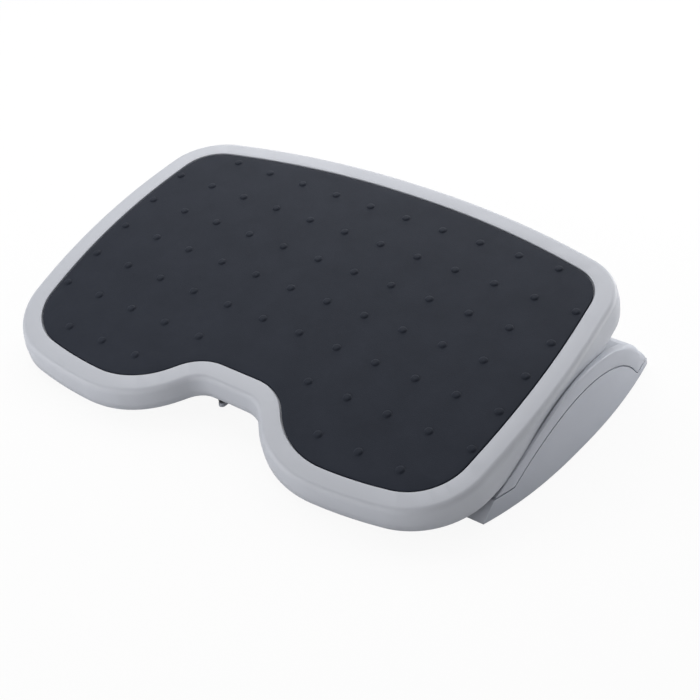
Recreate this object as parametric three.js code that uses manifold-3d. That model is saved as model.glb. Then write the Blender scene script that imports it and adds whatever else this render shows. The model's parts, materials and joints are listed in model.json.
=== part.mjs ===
// Tilting under desk footrest: a rubber-covered platform that rocks on two hinges over a low base.
// Millimetres, X to the right, Y to the rear, Z up from the floor. The platform is drawn in its own
// frame, level and centred on its mat, and is then turned to the slope at which it rests.
import * as THREE from 'three';
import { mergeVertices } from 'three/addons/utils/BufferGeometryUtils.js';
import Module from 'manifold-3d';

const wasm = await Module();
wasm.setup();

// Fits and fineness shared by all pieces
const chordError = 0.25; // largest sag of a facet under its curve
const seatGap = 0.3; // between two pieces that seat on each other
const runningGap = 0.3; // between turning and standing pieces
const screwGap = 0.2; // round a screw's shank
const overrun = 12; // how far a cutting solid passes the piece that it cuts

// Platform: place and slope at rest
const restSlope = THREE.MathUtils.degToRad(15.4);
const matCentreY = -10.3; // mat's middle in the part's frame

// Platform: crown from front to back, level from side to side
const crownReach = 166.2;
const crownDrop = 7.2; // fall at that reach from the summit
const crownSummit = -2.8;

// Mat outline
const matHalfWidth = 243.5;
const matBack = 166.2;
const matFront = 160;
const notchBack = 106.5; // the front edge between the two lobes
const backEdgeRadius = 799;
const backCornerRadius = 42.2;
const sideEdgeRadius = 803;
const frontCornerRadius = 55;
const frontEdgeRadius = 390;
const lobeRadius = 79.8;
const notchRadius = 49;
const acrossShares = { back: 0.439, backCorner: 0.9606, side: 1.0193, frontCorner: 0.9528, front: 0.6546,
  lobe: 0.3634, notch: 0.1786 };
const alongShares = { backCorner: 0.806, side: -0.031, frontCorner: -0.91, front: -0.996, lobe: -1.0075 };

// Mat body and its nubs
const matThickness = 2.2;
const matFit = 0.4; // round the mat in its pocket
const nubPitchX = 42;
const nubPitchY = 44.3;
const nubRadius = 4.4;
const nubHeight = 1.8;
const nubRoot = 0.6; // how deep a nub starts in the mat
const nubShoulderShares = { radius: 0.66, height: 0.75 };
const nubSides = 6;
const nubMargin = 8; // from a nub's middle to the mat's edge, at least
// Each row of nubs and its first and last column on one side, as shares of the pitch from the middle
const nubRowShares = [
  { row: 3, first: 0.5, last: 4.5 },
  { row: 2, first: 0.5, last: 5.5 },
  { row: 1, first: 0.5, last: 5.5 },
  { row: 0, first: 0.5, last: 5.5 },
  { row: -1, first: 0.5, last: 5.5 },
  { row: -2, first: 1.5, last: 5.5 },
  { row: -3, first: 2.5, last: 4.5 },
];

// Platform shell
const rimWidth = 16; // level rim outside the mat
const rimLip = 0.5; // rim's height over the mat
const rimRound = 4.8; // how far the rim's rounded edge reaches out
const rimRoundDrop = 4;
const skirtFlare = 1.4; // how far the skirt leans out on its way down
const skirtDepth = 29.6; // from the mat's middle to the skirt's level lower edge
const notchRise = 5; // of that edge in the notch
const notchRiseReach = 100; // to each side of the middle
const shellWall = 2.8;
const deckThickness = 2.8;
const ribThickness = 2.4;
const ribDepth = 6; // below the deck
const ribAcrossShares = [0, 0.3, 0.85];
const ribAlongShares = [-0.45, 0.05, 0.7];

// Hinges
const hingeInset = 55; // a hinge's middle inside the pods' inner walls
const pivotY = 29; // in the platform's frame
const pivotDrop = 34; // below the mat's surface
const pinRadius = 4;
const pinHeadRadius = 6.5;
const pinHeadHeight = 2.6;
const pinTail = 4.6; // beyond the outer face of the ear
const pinSides = 16;
const bushWall = 1.9;
const washerRadius = 9;
const washerThickness = 1.2;
const clipRadius = 6.4;
const clipThickness = 1.2;
const clipGrooveDepth = 0.8;
const clipMouthShare = 1.15; // of the groove's radius
const towerWidth = 24;

// Bracket under the deck
const padDepth = 4.4; // mounting pad below the deck
const bracketPlate = 3;
const bracketHalfWidth = 26.5;
const bracketFront = 28; // ahead of the pivot
const bracketBack = 44; // behind the pivot
const earThickness = 4;
const earRadius = 10;
const earRootShare = 1.9; // ear's length at the plate, in ear radii
const heelFront = 27; // stop heel behind the pivot
const heelBack = 41;
const heelHalfWidth = 9;
const heelLift = 2; // heel's foot over the pivot's axis when the platform is level
const bracketScrewX = 22;
const bracketScrewFront = 20;
const bracketScrewBack = 34;
const bracketBay = 4; // ribs stay this far from the bracket

// Tower on the base
const towerHead = 12; // half width and height of its head round the pivot
const towerHeadRound = 10;
const towerFoot = 30; // front foot ahead of the pivot
const towerShoulder = 45; // rear end of the stop shoulder behind the pivot
const towerRound = 3;
const towerFlare = 5; // how far the rear foot runs out below the shoulder
const flangeThickness = 5;
const flangeHalfWidth = 22;
const flangeLength = 9; // beyond the tower's feet
const stopPadThickness = 4;
const stopPadInset = 1.5; // inside the heel's outline
const stopPocket = 1.4; // how deep the pad sits in the shoulder

// Front bumpers
const bumperX = 24;
const bumperAhead = 9.6; // of the mat's edge in the notch
const bumperDrop = 35.6; // centre of the dome below the mat's surface
const bumperDome = 8;
const bumperRadius = 6;
const bumperNeck = 7; // from the dome's centre up to the boss
const bumperStem = 2.6;
const bumperStemLength = 8;
const bossRadius = 7.6;
const bumperSides = 12;
const stopTabHeight = 3.55; // of the tray's tab under a bumper
const stopTabReach = 14.1; // ahead of the tray's front edge

// Base: plan
const baseOverhang = 15.85; // base's rear edge behind the mat's
const podSetBack = 44.4; // pods' front behind the mat's
const podProud = 7.7; // widest place of a pod, at the floor, beyond the skirt
const podWidth = 68.4; // from there to the pod's inner wall
const podBulgeY = 38.5;
const podBulgeReach = 150;
const podFrontDrop = 15; // how much narrower the pod is at that reach
const podBackDrop = 14.3;
const podFrontFullShare = 2.7; // power of the curve: fuller shoulder ahead of the widest place
const podBackFullShare = 2;
const draftShare = 0.05; // lean of the side walls, inwards per height
const trayCornerShare = 0.92; // where the front edge leaves the pods
const trayBayShare = 0.68; // where it reaches its straight middle
const trayBayRadius = 60;
const sideSteps = 14;

// Base: side profile
const floorGap = 1.5; // side walls over the floor
const footHeight = 4; // tray over the floor
const trayThickness = 3;
const stripHeight = 19.8; // front end of the side cheek
const stripLean = 12.6; // how far its face leans back
const stripBackShare = -0.4308; // where the seam starts to climb, as a share of the back reach
const seamTopShares = { y: 0.1917, z: 1.409, radius: 2.025 };
const seamEndShare = 0.821; // where the seam ends on the rear lip
const archBelowMat = 1.5; // arch's height under the middle of the mat
const archFrontShares = { y: 0.0729, z: 1.244, radius: 2.025 };
const archRearShares = { y: 0.8284, z: 0.557, radius: 2.079 };
const lipHeight = 9.5;
const lipLean = 3.2;

// Base: walls and fixings
const cheekWall = 2.8;
const housingWall = 2.4;
const seamRound = 3; // where the seam meets the strip and the lip
const lipWall = 1.2; // of the housing's edge that stands beside the skirt, at least
const skirtClear = 0.9; // between that edge and the skirt
const seamGap = 0.7;
const tongueDepth = 8; // housing's tongue behind the cheek
const ledgeClear = 2; // ledge below the sweep of the skirt
const trayWall = 2.6;
const trayFrontWall = 8; // height of the tray's front wall over the floor
const trayRib = 2.4;
const trayRibHeight = 4.5;
const wellRadius = 5.6;
const wellTop = 12;
const wellSeat = 7;
const postRadius = 4.2;
const postHeight = 14; // of a cheek's screw post
const postInset = 9.2; // from the outer face to a cheek's screw post
const footRadius = 11;
const footStem = 3;
const footBarb = 3.8;
const footBarbHeight = 2;
const footOutset = 23; // a foot's middle outside the pod's inner wall
const footFrontInset = 27.6; // behind the pods' front
const footBackInset = 28.2; // ahead of the base's rear edge
const housingPostOutset = 17; // outside the pod's inner wall
const housingPostShares = [-0.3, 0.25, 0.7]; // of the back reach
const cheekPostShares = [-0.22, 0.2, 0.58];
const trayRibShares = [-0.42, -0.12, 0.62]; // of the back reach

// Screws
const screwRadius = 1.5;
const screwHeadRadius = 3.4;
const screwHeadHeight = 2.2;
const baseScrewLength = 10;
const bracketScrewLength = 8.2;
const screwSides = 6;
const roundSides = 12;

// Colours of the mouldings
const paleGrey = 0xb9bcc4;
const cheekGrey = 0xaeb1b9;
const rubberBlack = 0x33363c;
const darkRubber = 0x26272a;
const nylonBlack = 0x2e2f33;
const zincGrey = 0xb0b2b5;
const acetalWhite = 0xe2e0d8;

const skirtReach = rimWidth + rimRound + skirtFlare;
const podBulge = matHalfWidth + skirtReach + podProud;
const podInner = podBulge - podWidth;
const podFront = matFront - podSetBack;
const baseBack = matBack + baseOverhang;
const hingeX = podInner - hingeInset;
const bumperY = -(notchBack + bumperAhead);
const stopTabTop = footHeight + stopTabHeight;
const far = 2 * matHalfWidth; // past every piece in every direction
const crown = (y) => -crownDrop * ((y - crownSummit) / crownReach) ** 2;
const deckUnder = -(matThickness + seatGap + deckThickness);
const padUnder = deckUnder - padDepth;
const earInner = towerWidth / 2 + 2 * runningGap + washerThickness;
const trayTop = footHeight + trayThickness;

// The mat's middle over the floor, with the front bumpers on the tray's stop tabs
const bumperFall = bumperY * Math.sin(restSlope) - bumperDrop * Math.cos(restSlope);
const matHeight = stopTabTop + seatGap + bumperDome - bumperFall;
const archHeight = matHeight - archBelowMat;

// A point of the level platform, (y, z) in its own frame, in the part's frame at rest
function atRest(y, z) {
  const cos = Math.cos(restSlope);
  const sin = Math.sin(restSlope);
  return { y: matCentreY + y * cos - z * sin, z: matHeight + y * sin + z * cos };
}

const bumperAtRest = atRest(bumperY, -bumperDrop);
const stopTabFront = bumperAtRest.y - bumperStem;
const trayFront = -(stopTabFront + stopTabReach);
const pivot = atRest(pivotY, -pivotDrop);
const levelMatHeight = pivot.z + pivotDrop;

// Points along straight runs whose corners, [x, y, radius], are rounded by tangent arcs. Where two
// arcs would meet on their shared run, both are made smaller.
function roundedPath(start, corners, end) {
  const knots = [start, ...corners, end].map(([x, y]) => new THREE.Vector2(x, y));
  const runs = knots.slice(1).map((knot, i) => knot.distanceTo(knots[i]));
  const halfTurns = corners.map((corner, i) => {
    const before = knots[i].clone().sub(knots[i + 1]);
    const after = knots[i + 2].clone().sub(knots[i + 1]);
    return before.angleTo(after) / 2;
  });
  const wanted = corners.map((corner, i) => corner[2] / Math.tan(halfTurns[i]));
  const fits = runs.map((run, i) => Math.min(1, run / ((wanted[i - 1] ?? 0) + (wanted[i] ?? 0) || run)));
  const points = [knots[0]];
  corners.forEach((corner, i) => {
    const reach = wanted[i] * Math.min(fits[i], fits[i + 1]);
    const radius = reach * Math.tan(halfTurns[i]);
    const knot = knots[i + 1];
    const before = knots[i].clone().sub(knot).normalize();
    const after = knots[i + 2].clone().sub(knot).normalize();
    const inwards = before.clone().add(after).normalize();
    const centre = inwards.multiplyScalar(radius / Math.sin(halfTurns[i])).add(knot);
    const from = before.clone().multiplyScalar(reach).add(knot).sub(centre);
    const sweep = Math.PI - 2 * halfTurns[i];
    const turn = Math.sign(after.cross(before)) * sweep;
    const steps = Math.max(1, Math.ceil(sweep / (2 * Math.acos(1 - Math.min(1, chordError / radius)))));
    for (let step = 0; step <= steps; step += 1) {
      points.push(from.clone().rotateAround(new THREE.Vector2(), (turn * step) / steps).add(centre));
    }
  });
  points.push(knots[knots.length - 1]);
  return points.filter((point, i) => i === 0 || point.distanceTo(points[i - 1]) > chordError / 10);
}

// A closed outline moved outwards by a distance, or inwards where it is negative
function offsetOutline(points, distance) {
  const side = THREE.ShapeUtils.isClockWise(points) ? -1 : 1;
  return points.map((point, i) => {
    const before = points[(i + points.length - 1) % points.length];
    const after = points[(i + 1) % points.length];
    const first = new THREE.Vector2(point.y - before.y, before.x - point.x).normalize();
    const second = new THREE.Vector2(after.y - point.y, point.x - after.x).normalize();
    const across = first.clone().add(second);
    const mitre = (2 * side * distance) / across.lengthSq();
    return point.clone().add(across.multiplyScalar(mitre));
  });
}

// Signed volume of a closed mesh, above zero where its faces point outwards
function volumeOf(position, faces) {
  const corner = (i) => new THREE.Vector3().fromBufferAttribute(position, i);
  return faces.reduce((sum, [a, b, c]) => sum + corner(a).dot(corner(b).cross(corner(c))), 0);
}

function solidOf(geometry) {
  const bare = geometry.clone();
  bare.deleteAttribute('normal');
  bare.deleteAttribute('uv');
  const merged = mergeVertices(bare, chordError / 1000);
  const index = Array.from(merged.index.array);
  const all = index.filter((_, i) => i % 3 === 0).map((_, i) => index.slice(i * 3, i * 3 + 3));
  const faces = all.filter(([a, b, c]) => a !== b && b !== c && c !== a);
  const outward = volumeOf(merged.attributes.position, faces) > 0;
  const triVerts = new Uint32Array(faces.flatMap((face) => (outward ? face : face.reverse())));
  const vertProperties = new Float32Array(merged.attributes.position.array);
  return new wasm.Manifold(new wasm.Mesh({ numProp: 3, vertProperties, triVerts }));
}

function geometryOf(solid) {
  const { vertProperties, triVerts, numProp } = solid.getMesh();
  const geometry = new THREE.BufferGeometry();
  const position = new Float32Array((vertProperties.length / numProp) * 3);
  for (let i = 0; i < position.length / 3; i += 1) {
    position.set(vertProperties.slice(i * numProp, i * numProp + 3), i * 3);
  }
  geometry.setAttribute('position', new THREE.BufferAttribute(position, 3));
  geometry.setIndex(new THREE.BufferAttribute(new Uint32Array(triVerts), 1));
  geometry.computeVertexNormals();
  return geometry;
}

// The same geometry on the other side of the middle plane
function mirrored(geometry) {
  const other = geometry.clone().scale(-1, 1, 1);
  const index = other.index.array;
  for (let i = 0; i < index.length; i += 3) {
    [index[i], index[i + 1]] = [index[i + 1], index[i]];
  }
  other.computeVertexNormals();
  return other;
}

const joined = (solids) => solids.reduce((all, solid) => all.add(solid));
const joinedShapes = (geometries) => joined(geometries.map(solidOf));

function prismUp(points, from, to) {
  const shape = new THREE.Shape(points);
  const geometry = new THREE.ExtrudeGeometry(shape, { depth: to - from, bevelEnabled: false });
  return geometry.translate(0, 0, from);
}

// A (y, z) outline pulled along X
function prismAcross(points, from, to) {
  const geometry = prismUp(points, from, to);
  const turn = new THREE.Matrix4().makeBasis(
    new THREE.Vector3(0, 1, 0),
    new THREE.Vector3(0, 0, 1),
    new THREE.Vector3(1, 0, 0),
  );
  return geometry.applyMatrix4(turn);
}

function boxBetween(low, high) {
  const size = high.map((value, i) => value - low[i]);
  const geometry = new THREE.BoxGeometry(...size);
  return geometry.translate(...low.map((value, i) => value + size[i] / 2));
}

function rodUp(x, y, from, to, radius, sides = roundSides) {
  const geometry = new THREE.CylinderGeometry(radius, radius, to - from, sides);
  return geometry.rotateX(Math.PI / 2).translate(x, y, (from + to) / 2);
}

// A (radius, height) profile turned round the Z axis, which it closes on at both ends
function turned(profile, sides) {
  const points = profile.map(([radius, height]) => new THREE.Vector2(radius, height));
  return new THREE.LatheGeometry(points, sides).rotateX(Math.PI / 2);
}

// A ring turned round the Z axis: its profile comes back to its first point
const turnedRing = (profile, sides) => turned([...profile, profile[0]], sides);

// A half outline from the middle plane and back to it, and its mirror image, counter-clockwise
function withMirror(points) {
  const other = points.slice(1, -1).reverse().map((point) => new THREE.Vector2(-point.x, point.y));
  const outline = [...points, ...other];
  return THREE.ShapeUtils.isClockWise(outline) ? outline.reverse() : outline;
}

function matOutline() {
  const corner = (name, y, radius) => [acrossShares[name] * matHalfWidth, y, radius];
  const half = roundedPath([0, matBack], [
    corner('back', matBack, backEdgeRadius),
    corner('backCorner', alongShares.backCorner * matBack, backCornerRadius),
    corner('side', alongShares.side * matFront, sideEdgeRadius),
    corner('frontCorner', alongShares.frontCorner * matFront, frontCornerRadius),
    corner('front', alongShares.front * matFront, frontEdgeRadius),
    corner('lobe', alongShares.lobe * matFront, lobeRadius),
    corner('notch', -notchBack, notchRadius),
  ], [0, -notchBack]);
  return withMirror(half);
}

const matEdge = matOutline();

// All that lies between two heights over the crowned surface
function crownSlab(top, bottom) {
  const reach = crownReach + skirtReach + overrun;
  const halfWidth = matHalfWidth + skirtReach + overrun;
  const chord = 2 * crownReach * Math.sqrt(chordError / crownDrop);
  const steps = Math.ceil(reach / chord);
  const line = [];
  for (let step = -steps; step <= steps; step += 1) {
    const y = (reach * step) / steps;
    line.push([y, crown(y)]);
  }
  const over = line.map(([y, z]) => new THREE.Vector2(y, z + top));
  const under = line.map(([y, z]) => new THREE.Vector2(y, z + bottom)).reverse();
  return solidOf(prismAcross([...over, ...under], -halfWidth, halfWidth));
}

// Heights of a ring's points: over the crown, below the mat's middle, and along the skirt's lower
// edge, which rises in the notch
const overCrown = (height) => (x, y) => height + crown(y);
const below = (depth) => () => -depth;
function skirtEdge(x, y) {
  const share = y < 0 ? Math.min(1, Math.abs(x) / notchRiseReach) : 1;
  return notchRise * Math.cos((share * Math.PI) / 2) ** 2 - skirtDepth;
}

// A solid through rings of the mat's edge, each [reach outside the mat, its points' heights], from
// the lowest ring to the highest
function ringLoft(levels) {
  const rings = levels.map(([reach]) => offsetOutline(matEdge, reach));
  const count = matEdge.length;
  const position = rings.flatMap((ring, level) => (
    ring.flatMap((point) => [point.x, point.y, levels[level][1](point.x, point.y)])));
  const index = [];
  for (let level = 0; level < rings.length - 1; level += 1) {
    for (let i = 0; i < count; i += 1) {
      const a = level * count + i;
      const b = level * count + ((i + 1) % count);
      index.push(a, b, b + count, a, b + count, a + count);
    }
  }
  const cap = (level, up) => {
    const ring = rings[level];
    THREE.ShapeUtils.triangulateShape(ring, []).forEach((face) => {
      const faceUp = THREE.ShapeUtils.area(face.map((i) => ring[i])) > 0;
      const corners = faceUp === up ? face : face.slice().reverse();
      index.push(...corners.map((i) => i + level * count));
    });
  };
  cap(0, false);
  cap(rings.length - 1, true);
  const geometry = new THREE.BufferGeometry();
  geometry.setAttribute('position', new THREE.Float32BufferAttribute(position, 3));
  geometry.setIndex(index);
  return solidOf(geometry);
}

function nub(x, y) {
  const shoulder = nubShoulderShares;
  return solidOf(turned([
    [0, nubHeight],
    [nubRadius * shoulder.radius, nubHeight * shoulder.height],
    [nubRadius, -nubRoot],
    [0, -nubRoot],
  ], nubSides).translate(x, y, crown(y)));
}

// Whether a point lies within a closed outline
function isWithin(outline, x, y) {
  return outline.reduce((inside, point, i) => {
    const next = outline[(i + 1) % outline.length];
    const spans = (point.y > y) !== (next.y > y);
    const cross = point.x + ((next.x - point.x) * (y - point.y)) / (next.y - point.y);
    return spans && x < cross ? !inside : inside;
  }, false);
}

function footMat() {
  const field = offsetOutline(matEdge, -nubMargin);
  const sheet = solidOf(prismUp(matEdge, -far, far)).intersect(crownSlab(0, -matThickness));
  const nubs = [];
  nubRowShares.forEach(({ row, first, last }) => {
    for (let column = first; column <= last; column += 1) {
      const x = column * nubPitchX;
      const y = row * nubPitchY;
      if (isWithin(field, x, y)) {
        nubs.push(nub(x, y), nub(-x, y));
      }
    }
  });
  return geometryOf(joined([sheet, ...nubs]));
}

// Places on the right and their mirror images
const bothSides = (places) => places.flatMap(([x, y]) => [[x, y], [-x, y]]);

const plateTop = padUnder - seatGap;
const plateUnder = plateTop - bracketPlate;
const bracketY = [pivotY - bracketFront, pivotY + bracketBack];
const bracketScrews = [-1, 1].flatMap((side) => (
  [-bracketScrewFront, bracketScrewBack].map((along) => [hingeX + side * bracketScrewX, pivotY + along])));
const bumperTop = -bumperDrop + bumperNeck;

function deckRibs() {
  const low = deckUnder - ribDepth;
  const half = ribThickness / 2;
  const across = matHalfWidth + skirtReach;
  const along = ribAcrossShares.flatMap((share) => (share ? [-share, share] : [share]));
  const ribs = [
    ...along.map((share) => share * matHalfWidth)
      .map((x) => boxBetween([x - half, -far, low], [x + half, far, 0])),
    ...ribAlongShares.map((share) => share * crownReach)
      .map((y) => boxBetween([-across, y - half, low], [across, y + half, 0])),
  ];
  const reach = bracketHalfWidth + bracketBay;
  const bays = [-hingeX, hingeX].map((x) => boxBetween(
    [x - reach, bracketY[0] - bracketBay, -far],
    [x + reach, bracketY[1] + bracketBay, far],
  ));
  return joinedShapes(ribs).subtract(joinedShapes(bays));
}

function deckMounts() {
  const pads = [-hingeX, hingeX].map((x) => boxBetween(
    [x - bracketHalfWidth, bracketY[0], padUnder],
    [x + bracketHalfWidth, bracketY[1], 0],
  ));
  const bosses = [-bumperX, bumperX].map((x) => rodUp(x, bumperY, bumperTop + seatGap, 0, bossRadius));
  return joinedShapes([...pads, ...bosses]);
}

function deckHoles() {
  const top = plateUnder - seatGap + bracketScrewLength + screwGap;
  const pilots = bothSides(bracketScrews).map(([x, y]) => (
    rodUp(x, y, padUnder - overrun, top, screwRadius + screwGap, screwSides)));
  const stems = bothSides([[bumperX, bumperY]]).map(([x, y]) => (
    rodUp(x, y, bumperTop - overrun, bumperTop + bumperStemLength + screwGap, bumperStem + screwGap)));
  return joinedShapes([...pilots, ...stems]);
}

function platformShell() {
  const shoulder = rimWidth + rimRound;
  const outer = ringLoft([
    [skirtReach, skirtEdge],
    [shoulder, overCrown(-rimRoundDrop)],
    [rimWidth + rimRound * Math.SQRT1_2, overCrown(rimLip - (rimLip + rimRoundDrop) * (1 - Math.SQRT1_2))],
    [rimWidth, overCrown(rimLip)],
    [rimWidth, overCrown(rimLip + crownDrop + overrun)],
  ]).intersect(crownSlab(rimLip, -far));
  const lining = (reach) => ringLoft([
    [skirtReach - reach, below(skirtDepth + overrun + far)],
    [skirtReach - reach, below(skirtDepth)],
    [shoulder - reach, overCrown(0)],
    [shoulder - reach, overCrown(crownDrop + overrun)],
  ]);
  const hollow = lining(shellWall).intersect(crownSlab(deckUnder, -far));
  const pocket = solidOf(prismUp(offsetOutline(matEdge, matFit), -far, far))
    .intersect(crownSlab(overrun, -(matThickness + seatGap)));
  const carriers = joined([deckRibs(), deckMounts()])
    .intersect(lining(shellWall / 2))
    .intersect(crownSlab(deckUnder + deckThickness / 2, -far));
  return geometryOf(outer.subtract(hollow).subtract(pocket).add(carriers).subtract(deckHoles()));
}

function rodAcross(y, z, from, to, radius, sides = roundSides) {
  return new THREE.CylinderGeometry(radius, radius, to - from, sides)
    .rotateZ(Math.PI / 2)
    .translate((from + to) / 2, y, z);
}

function hingeBracket() {
  const pivotZ = -pivotDrop;
  const root = earRadius * earRootShare;
  const middle = plateUnder + bracketPlate / 2;
  const plate = boxBetween([hingeX - bracketHalfWidth, bracketY[0], plateUnder],
    [hingeX + bracketHalfWidth, bracketY[1], plateTop]);
  const ear = roundedPath([pivotY - root, middle], [
    [pivotY - earRadius, pivotZ - earRadius, earRadius],
    [pivotY + earRadius, pivotZ - earRadius, earRadius],
  ], [pivotY + root, middle]);
  const ears = [
    prismAcross(ear, hingeX + earInner, hingeX + earInner + earThickness),
    prismAcross(ear, hingeX - earInner - earThickness, hingeX - earInner),
  ];
  const heel = boxBetween([hingeX - heelHalfWidth, pivotY + heelFront, pivotZ + heelLift],
    [hingeX + heelHalfWidth, pivotY + heelBack, middle]);
  const pinHole = rodAcross(pivotY, pivotZ, hingeX - bracketHalfWidth, hingeX + bracketHalfWidth,
    pinRadius + screwGap, pinSides);
  const holes = bracketScrews.map(([x, y]) => (
    rodUp(x, y, plateUnder - overrun, plateTop + overrun, screwRadius + screwGap, screwSides)));
  return geometryOf(joinedShapes([plate, ...ears, heel]).subtract(joinedShapes([pinHole, ...holes])));
}

// Along the pin, from the middle of its hinge
const earOuter = earInner + earThickness;
const clipNear = earOuter + runningGap;
const clipFar = clipNear + clipThickness;

// A profile turned round the hinge's axis, its heights outwards from the middle of the hinge
const onPivot = (geometry) => geometry.rotateY(Math.PI / 2).translate(hingeX, pivotY, -pivotDrop);

function pivotPin() {
  const headNear = earOuter + runningGap;
  const groove = pinRadius - clipGrooveDepth;
  const play = screwGap / 2;
  return onPivot(turned([
    [0, headNear + pinHeadHeight],
    [pinHeadRadius, headNear + pinHeadHeight],
    [pinHeadRadius, headNear],
    [pinRadius, headNear],
    [pinRadius, -clipNear + play],
    [groove, -clipNear + play],
    [groove, -clipFar - play],
    [pinRadius, -clipFar - play],
    [pinRadius, -earOuter - pinTail],
    [0, -earOuter - pinTail],
  ], pinSides));
}

function pinClip() {
  const bore = pinRadius - clipGrooveDepth + screwGap;
  const ring = solidOf(turnedRing([
    [bore, -clipFar],
    [clipRadius, -clipFar],
    [clipRadius, -clipNear],
    [bore, -clipNear],
  ], pinSides));
  const mouth = bore * clipMouthShare / 2;
  const slot = boxBetween([-mouth, 0, -clipFar - overrun],
    [mouth, clipRadius + overrun, -clipNear + overrun]);
  return geometryOf(ring.subtract(solidOf(slot)));
}

// A thrust washer on one side of its tower, 1 outwards or -1 inwards
function thrustWasher(side) {
  const bore = pinRadius + runningGap;
  const inner = side * (towerWidth / 2 + runningGap);
  const outer = inner + side * washerThickness;
  const section = [[bore, inner], [washerRadius, inner], [washerRadius, outer], [bore, outer]];
  return onPivot(turnedRing(section, pinSides));
}

function screw(x, y, seat, length) {
  return geometryOf(solidOf(turned([
    [0, seat - screwHeadHeight],
    [screwHeadRadius, seat - screwHeadHeight],
    [screwHeadRadius, seat],
    [screwRadius, seat],
    [screwRadius, seat + length],
    [0, seat + length],
  ], screwSides).translate(x, y, 0)));
}

function frontBumper() {
  const rise = Math.asin(bumperRadius / bumperDome);
  const steps = Math.ceil(rise / Math.acos(1 - chordError / bumperDome));
  const dome = [];
  for (let step = 0; step <= steps; step += 1) {
    const angle = (rise * step) / steps;
    dome.push([bumperDome * Math.sin(angle), -bumperDome * Math.cos(angle)]);
  }
  return turned([
    ...dome,
    [bumperRadius, bumperNeck],
    [bumperStem, bumperNeck],
    [bumperStem, bumperNeck + bumperStemLength],
    [0, bumperNeck + bumperStemLength],
  ], bumperSides).translate(bumperX, bumperY, -bumperDrop);
}

// Half width of the pod's outer face at a height, less an inset
function sideX(y, z, inset = 0) {
  const share = Math.abs(y - podBulgeY) / podBulgeReach;
  const drop = y < podBulgeY ? podFrontDrop * share ** podFrontFullShare : podBackDrop * share ** podBackFullShare;
  return podBulge - drop - draftShare * z - inset;
}

// The right pod's plan with its leaning side, from its inner wall out
function leaningPlan(inset, inner) {
  const front = -(podFront + overrun * 2);
  const back = baseBack + overrun * 2;
  const bottom = -far;
  const side = [];
  for (let step = 0; step <= sideSteps; step += 1) {
    const y = front + ((back - front) * step) / sideSteps;
    side.push(new THREE.Vector2(sideX(y, 0, inset), y));
  }
  const outline = [new THREE.Vector2(inner, front), ...side, new THREE.Vector2(inner, back)];
  const geometry = prismUp(outline, bottom, far);
  const position = geometry.attributes.position;
  for (let i = 0; i < position.count; i += 1) {
    const lean = position.getX(i) > inner + chordError ? draftShare * position.getZ(i) : 0;
    position.setX(i, position.getX(i) - lean);
  }
  return solidOf(geometry);
}

// Side view of a pod: leaning front strip, arch, and low rear lip, all carried below the floor
function podProfile() {
  const frontSpread = (stripLean / stripHeight) * overrun;
  const backSpread = (lipLean / lipHeight) * overrun;
  return roundedPath([-(podFront + frontSpread), -overrun], [
    [-(podFront - stripLean), stripHeight, 0],
    [archFrontShares.y * baseBack, archFrontShares.z * archHeight, archFrontShares.radius * archHeight],
    [archRearShares.y * baseBack, archRearShares.z * archHeight, archRearShares.radius * archHeight],
    [baseBack - lipLean, lipHeight, 0],
  ], [baseBack + backSpread, -overrun]);
}

function podEnvelope(inset, inner) {
  const profile = offsetOutline(podProfile(), -inset);
  return leaningPlan(inset, inner).intersect(solidOf(prismAcross(profile, 0, podBulge + overrun)));
}

// The seam between cheek and housing in side view
function seamLine() {
  return roundedPath([-(podFront + overrun * 2), stripHeight], [
    [stripBackShare * baseBack, stripHeight, seamRound],
    [seamTopShares.y * baseBack, seamTopShares.z * archHeight, seamTopShares.radius * archHeight],
    [seamEndShare * baseBack, lipHeight, seamRound],
  ], [baseBack + overrun * 2, lipHeight]);
}

// All that lies between a (y, z) line, moved up by a distance, and an end height, over the right pod
function besideLine(line, rise, end) {
  const edge = line.map((point) => new THREE.Vector2(point.x, point.y + rise));
  const first = new THREE.Vector2(edge[0].x, end);
  const last = new THREE.Vector2(edge[edge.length - 1].x, end);
  return solidOf(prismAcross([first, ...edge, last], 0, podBulge + overrun));
}

// The line that a pod's top stays under, clear of the skirt at every slope of the platform
function ledgeLine() {
  const steps = sideSteps;
  const from = -(matFront + skirtReach);
  const to = matBack + skirtReach;
  const line = [];
  for (let step = 0; step <= steps; step += 1) {
    const y = from + ((to - from) * step) / steps;
    const low = y < pivotY ? atRest(y, -skirtDepth)
      : { y: y - pivotY + pivot.y, z: levelMatHeight - skirtDepth };
    line.push(new THREE.Vector2(low.y, low.z - ledgeClear));
  }
  return line;
}

// All that the skirt, and the room beside it, pass through on the way from one end slope to the other
function skirtPath() {
  const column = prismUp(offsetOutline(matEdge, skirtReach + skirtClear), -far, far);
  const level = solidOf(column.clone().translate(0, pivot.y - pivotY, levelMatHeight));
  return solidOf(column.rotateX(restSlope).translate(0, matCentreY, matHeight)).add(level);
}

const postFoot = wellTop + seatGap;
const screwSeat = wellSeat - seatGap;
const screwTip = screwSeat + baseScrewLength;
const housingPosts = housingPostShares.map((share) => [podInner + housingPostOutset, share * baseBack]);
const cheekPosts = cheekPostShares.map((share) => share * baseBack)
  .map((y) => [sideX(y, wellTop, postInset), y]);
const pilotUp = ([x, y]) => rodUp(x, y, -overrun, screwTip + screwGap, screwRadius + screwGap, screwSides);

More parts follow.
